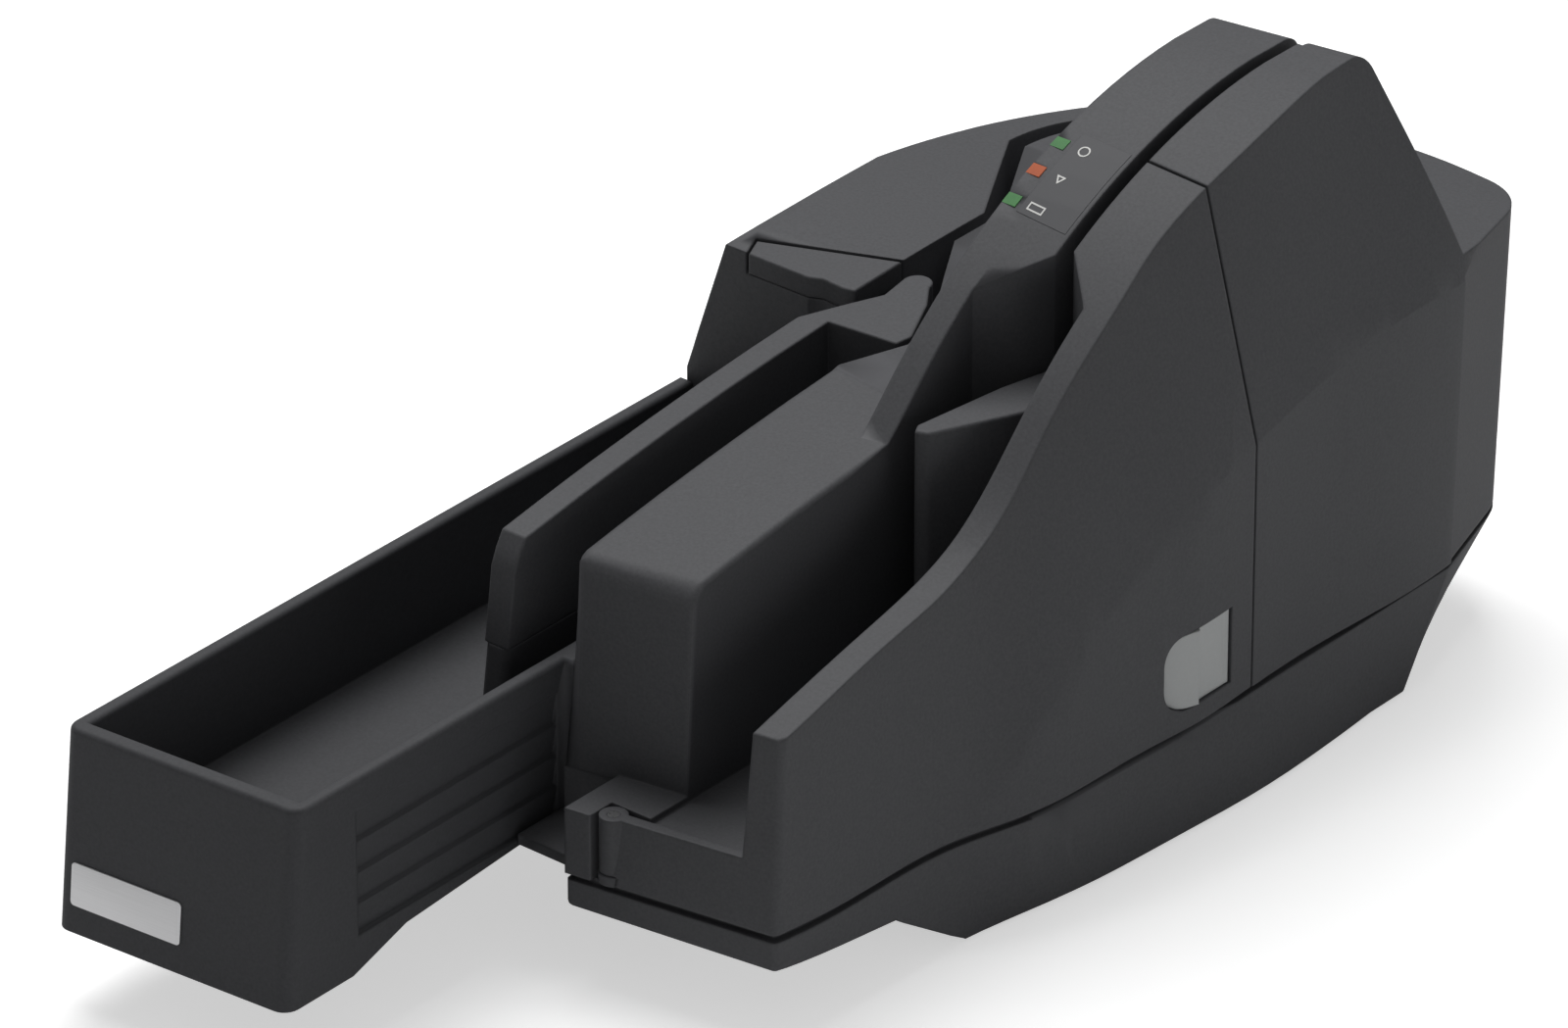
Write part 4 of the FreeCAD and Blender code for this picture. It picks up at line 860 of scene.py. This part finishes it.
@dataclass(frozen=True)
class CarriedOver:
    """Finishes of the CAD nodes: by name, else by the ending of the name, else plain inner."""

    finishes: dict[str, Finish] = field(
        default_factory=lambda: {
            "pocket_tray": Finish.POCKET,
            "divider_base": Finish.POCKET,
            "latch_lever": Finish.LIGHT_GREY,
            "lamp_ready": Finish.GREEN,
            "lamp_error": Finish.ORANGE,
            "lamp_power": Finish.GREEN,
            "rubber_feet": Finish.FOOT,
            "main_board": Finish.BOARD,
            "centre_housing": Finish.CHARCOAL,
            "lower_case": Finish.CHARCOAL,
            "left_housing": Finish.CHARCOAL,
            "cartridge_lid": Finish.CHARCOAL,
            "rear_cover": Finish.CHARCOAL,
            "front_cover": Finish.CHARCOAL,
            "divider_cap": Finish.CHARCOAL,
            "hopper_pusher": Finish.CHARCOAL,
        }
    )
    endings: dict[str, Finish] = field(
        default_factory=lambda: {
            "_roller": Finish.TYRE,
            "_belt": Finish.TYRE,
            "_shaft": Finish.STEEL,
            "_pin": Finish.STEEL,
            "_motor": Finish.STEEL,
            "_solenoid": Finish.STEEL,
            "_socket": Finish.STEEL,
        }
    )

    def finish_of(self, name: str) -> Finish:
        """Find a node's finish.

        Args:
            name: the node's name.

        Returns:
            Its finish.
        """
        if name in self.finishes:
            return self.finishes[name]
        found = (finish for ending, finish in self.endings.items() if name.endswith(ending))
        return next(found, Finish.INNER)

    def dress_all(self) -> int:
        """Dress every node.

        Returns:
            How many nodes were dressed.
        """
        for name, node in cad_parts.items():
            dress(node, self.finish_of(name).made())
        return len(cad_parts)


@dataclass(frozen=True)
class NamePlate:
    """Blank brushed plate on the front of the pocket tray."""

    left: float = -76.3
    right: float = -43.4
    low: float = 27.6
    high: float = 38.8
    thickness: float = 0.45
    sunk: float = 0.05
    corner: float = 1.1
    rim: float = 0.28
    swell: float = 0.06
    ahead: float = -230.0

    def corners(self) -> list[Vector]:
        """Find three corners on the tray's slanted front face.

        Returns:
            The lower left, lower right and upper left corner.
        """
        tray = bpy.data.objects["pocket_tray_shell"]
        found = []
        for x, z in ((self.left, self.low), (self.right, self.low), (self.left, self.high)):
            hit, place, _, _ = tray.ray_cast(mm(x, self.ahead, z), Vector((0, 1, 0)))
            assert hit, "the plate misses the tray's front"
            found.append(place.copy())
        return found

    def build(self) -> list[bpy.types.Object]:
        """Model the plate and lean it against the tray's front.

        Returns:
            The finished plate.
        """
        origin, right, top = self.corners()
        across, upward = right - origin, top - origin
        out = across.cross(upward).normalized()
        raised = (self.thickness / 2 - self.sunk) * MM
        centre = origin + (across + upward) / 2 + out * raised
        deselect()
        bpy.ops.mesh.primitive_cube_add(size=1.0, location=(0, 0, 0))
        plate = named("name_plate")
        plate.scale = (across.length, upward.length, self.thickness * MM)
        settle(plate)
        upright = self.thickness * MM * 0.7
        pick(plate, "EDGE", lambda first, second: abs(first.z - second.z) > upright)
        bpy.ops.mesh.bevel(offset=self.corner * MM, segments=5, affect="EDGES")
        pick(plate, "FACE", lambda middle, normal: normal.z > FACING)
        bpy.ops.mesh.inset(thickness=self.rim * MM, depth=0.0)
        bpy.ops.transform.translate(value=(0, 0, self.swell * MM))
        bpy.ops.object.mode_set(mode="OBJECT")
        first = across.normalized()
        turn = Matrix((first, out.cross(first), out)).transposed().to_4x4()
        plate.matrix_world = Matrix.Translation(centre) @ turn
        settle(plate)
        bpy.ops.object.shade_smooth_by_angle(angle=math.radians(30))
        dress(plate, Finish.PLATE.made())
        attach(plate, "base")
        return [plate]


@dataclass(frozen=True)
class LampMark:
    """An outline beside a lamp: a ring, a triangle or a rectangle."""

    name: str
    corners: int
    place: float
    width: float
    length: float


@dataclass(frozen=True)
class StatusFilm:
    """Thin smooth film beside the lamps, with a plain mark at each lamp."""

    left: float = 23.4
    right: float = 38.4
    front: float = 40.6
    rear: float = 66.2
    stand: float = 0.036
    film: float = 0.05
    cuts: int = 24
    mark_x: float = 27.4
    mark_stand: float = 0.132
    stroke: float = 0.42
    overhead: float = 250.0
    marks: tuple[LampMark, ...] = (
        LampMark("lamp_mark_0", 4, 43.1, 4.6, 2.2),
        LampMark("lamp_mark_1", 3, 52.3, 3.2, 3.2),
        LampMark("lamp_mark_2", 32, 61.5, 3.2, 3.2),
    )

    def drape(self, piece: bpy.types.Object, above: float) -> None:
        """Lay a flat piece onto the ridge, from above, and give it its thickness.

        Args:
            piece: the flat mesh, above the ridge.
            above: how far it stands off the ridge, in millimetres.
        """
        lay = piece.modifiers.new("Lay", "SHRINKWRAP")
        lay.target = bpy.data.objects["centre_housing_shell"]
        lay.wrap_method = "PROJECT"
        lay.use_project_z = True
        lay.use_positive_direction = False
        lay.use_negative_direction = True
        finish_modifiers(piece)
        piece.location = (0.0, 0.0, above * MM)
        settle(piece)
        thick = piece.modifiers.new("Thickness", "SOLIDIFY")
        thick.thickness = self.film * MM
        thick.offset = 1.0
        finish_modifiers(piece)

    def sheet(self) -> bpy.types.Object:
        """Model the film itself.

        Returns:
            The finished film.
        """
        deselect()
        bpy.ops.mesh.primitive_grid_add(
            x_subdivisions=self.cuts // 2, y_subdivisions=self.cuts, size=1.0
        )
        piece = named("status_film")
        piece.scale = ((self.right - self.left) * MM, (self.rear - self.front) * MM, 1.0)
        middle = ((self.left + self.right) / 2, (self.front + self.rear) / 2)
        piece.location = mm(*middle, self.overhead)
        settle(piece)
        self.drape(piece, self.stand)
        dress(piece, Finish.LABEL.made())
        return piece

    def outline(self, mark: LampMark) -> bpy.types.Object:
        """Model one mark.

        Args:
            mark: which one.

        Returns:
            The finished mark.
        """
        square = mark.corners == 4
        turn = math.pi / 4 if square else math.pi
        across = math.sqrt(2.0) if square else 2.0
        deselect()
        bpy.ops.mesh.primitive_circle_add(
            vertices=mark.corners,
            radius=1.0,
            fill_type="NGON",
            location=(0, 0, 0),
            rotation=(0, 0, turn),
        )
        piece = named(mark.name)
        settle(piece)
        piece.scale = (mark.width * MM / across, mark.length * MM / across, 1.0)
        piece.location = mm(self.mark_x, mark.place, self.overhead)
        settle(piece)
        bpy.ops.object.mode_set(mode="EDIT")
        bpy.ops.mesh.select_mode(type="FACE")
        bpy.ops.mesh.select_all(action="SELECT")
        bpy.ops.mesh.inset(thickness=self.stroke * MM)
        bpy.ops.mesh.delete(type="FACE")
        bpy.ops.mesh.select_all(action="SELECT")
        bpy.ops.mesh.subdivide(number_cuts=2)
        bpy.ops.object.mode_set(mode="OBJECT")
        self.drape(piece, self.mark_stand)
        dress(piece, Finish.PRINT.made())
        return piece

    def build(self) -> list[bpy.types.Object]:
        """Model the film and its marks.

        Returns:
            The finished pieces.
        """
        made = [self.sheet(), *(self.outline(mark) for mark in self.marks)]
        for piece in made:
            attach(piece, "base")
        return made


@dataclass(frozen=True)
class BottomScrews:
    """Screw heads with a round recess in the underside of the lower case."""

    radius: float = 3.1
    head: float = 1.0
    proud: float = 0.35
    recess: float = 0.62
    taper: float = 0.12
    rounding: float = 0.18
    below: float = -20.0
    places: tuple[tuple[float, float], ...] = (
        (44.0, -24.0),
        (60.0, 76.0),
        (-44.0, -24.0),
        (-48.0, 84.0),
        (8.0, 118.0),
    )

    def one(self, name: str, x: float, y: float) -> bpy.types.Object:
        """Model one screw head.

        Args:
            name: the piece's name.
            x: its place across.
            y: its place rearward.

        Returns:
            The finished head.
        """
        case = bpy.data.objects["lower_case_shell"]
        hit, place, _, _ = case.ray_cast(mm(x, y, self.below), Vector((0, 0, 1)))
        assert hit, "a screw misses the lower case"
        radius, head = self.radius * MM, self.head * MM
        deselect()
        bpy.ops.mesh.primitive_cylinder_add(
            vertices=32, radius=radius, depth=head, location=(0, 0, 0)
        )
        screw = named(name)
        pick(screw, "FACE", lambda centre, normal: normal.z < -FACING)
        bpy.ops.mesh.inset(thickness=radius * self.recess)
        bpy.ops.mesh.extrude_region_move(TRANSFORM_OT_translate={"value": (0, 0, head / 2)})
        bpy.ops.mesh.inset(thickness=radius * self.taper, depth=0.0)
        bpy.ops.object.mode_set(mode="OBJECT")
        screw.location = (x * MM, y * MM, place.z + self.proud * MM - head / 2)
        settle(screw)
        bevel = screw.modifiers.new("Rounding", "BEVEL")
        bevel.width = self.rounding * MM
        bevel.segments = 2
        bevel.limit_method = "ANGLE"
        bevel.angle_limit = math.radians(30.0)
        bevel.harden_normals = False
        finish_modifiers(screw)
        bpy.ops.object.shade_smooth_by_angle(angle=SMOOTH_ANGLE)
        dress(screw, Finish.SCREW.made())
        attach(screw, "base")
        return screw

    def build(self) -> list[bpy.types.Object]:
        """Model every screw."""
        return [self.one(f"case_screw_{i}", x, y) for i, (x, y) in enumerate(self.places)]


# ---------------------------------------------------------------- stage, light and camera
@dataclass(frozen=True)
class Softbox:
    """Square area lamp that looks at the machine, in metres and watts."""

    name: str
    place: tuple[float, float, float]
    size: float
    power: float
    target: tuple[float, float, float] = (0.0, 0.0, 0.08)

    def hang(self) -> None:
        """Hang the lamp."""
        lamp = bpy.data.lights.new(self.name, "AREA")
        lamp.shape = "SQUARE"
        lamp.size = self.size
        lamp.energy = self.power
        made = bpy.data.objects.new(self.name, lamp)
        bpy.context.scene.collection.objects.link(made)
        made.location = self.place
        made.rotation_mode = "QUATERNION"
        look = Vector(self.target) - Vector(self.place)
        made.rotation_quaternion = look.to_track_quat("-Z", "Y")


@dataclass(frozen=True)
class Studio:
    """Plain pale floor, soft light and the camera at the photograph's angle."""

    azimuth: float = math.radians(39.9)
    elevation: float = math.radians(29.3)
    distance: float = 2891.6
    aim: tuple[float, float, float] = (-30.6, 17.9, 60.0)
    focal: float = 270.0
    film_width: float = 36.0
    sight: float = 60.0
    floor_size: float = 9.0
    floor_tone: float = 0.82
    floor_glow: float = 0.55
    room_light: float = 0.17
    lamps: tuple[Softbox, ...] = (
        Softbox("top_light", (-0.6, 0.4, 1.8), 1.3, 30.0),
        Softbox("right_light", (1.9, 0.3, 0.3), 1.2, 4.0),
    )

    def camera(self) -> None:
        """Place the camera."""
        level = math.cos(self.elevation)
        side, ahead = math.sin(self.azimuth) * level, math.cos(self.azimuth) * level
        back = Vector((side, -ahead, math.sin(self.elevation)))
        lens = bpy.data.cameras.new("camera")
        lens.lens = self.focal
        lens.sensor_width = self.film_width
        lens.sensor_fit = "HORIZONTAL"
        lens.clip_end = self.sight
        made = bpy.data.objects.new("camera", lens)
        bpy.context.scene.collection.objects.link(made)
        made.location = mm(*self.aim) + back * self.distance * MM
        made.rotation_mode = "QUATERNION"
        made.rotation_quaternion = (-back).to_track_quat("-Z", "Y")
        bpy.context.scene.camera = made

    def floor(self) -> None:
        """Lay the pale floor, which glows towards the camera only."""
        deselect()
        bpy.ops.mesh.primitive_plane_add(size=self.floor_size, location=(0, 0, 0))
        floor = named("floor")
        coat = Coat("pale_floor")
        seen = coat.node("ShaderNodeLightPath").outputs["Is Camera Ray"]
        made = coat.shade(
            {
                "Base Color": rgba((self.floor_tone,) * 3),
                "Roughness": 0.9,
                "Specular IOR Level": 0.1,
                "Emission Color": rgba((1.0, 1.0, 1.0)),
                "Emission Strength": coat.work("MULTIPLY", seen, self.floor_glow),
            }
        )
        dress(floor, made)

    def sky(self) -> None:
        """Light the room evenly and show a white background."""
        world = bpy.data.worlds.new("studio")
        bpy.context.scene.world = world
        world.use_nodes = True
        wire = Wire(world.node_tree)
        light = wire.node("ShaderNodeLightPath").outputs
        seen = wire.work("MAXIMUM", light["Is Camera Ray"], light["Is Transmission Ray"])
        ground = world.node_tree.nodes["Background"].inputs
        ground["Color"].default_value = rgba((1.0, 1.0, 1.0))
        wire.feed(ground["Strength"], wire.spread(seen, self.room_light, 1.0))

    def build(self) -> None:
        """Set up everything round the machine."""
        self.camera()
        self.sky()
        self.floor()
        for lamp in self.lamps:
            lamp.hang()
        bpy.context.scene.view_settings.view_transform = "Standard"


def main() -> None:
    """Build the machine's looks in order."""
    logging.basicConfig(level=logging.INFO, format="%(name)s: %(message)s")
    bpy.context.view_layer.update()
    moulded_grain()
    edge_wear_and_highlight()
    Studio().build()
    LOG.info("dressed %d carried-over nodes", CarriedOver().dress_all())
    builders: list[Builder] = [*shells(), NamePlate(), StatusFilm(), BottomScrews(), SocketPin()]
    for builder in builders:
        for piece in builder.build():
            LOG.info("made %s", piece.name)
    deselect()


if __name__ == "__main__":
    main()
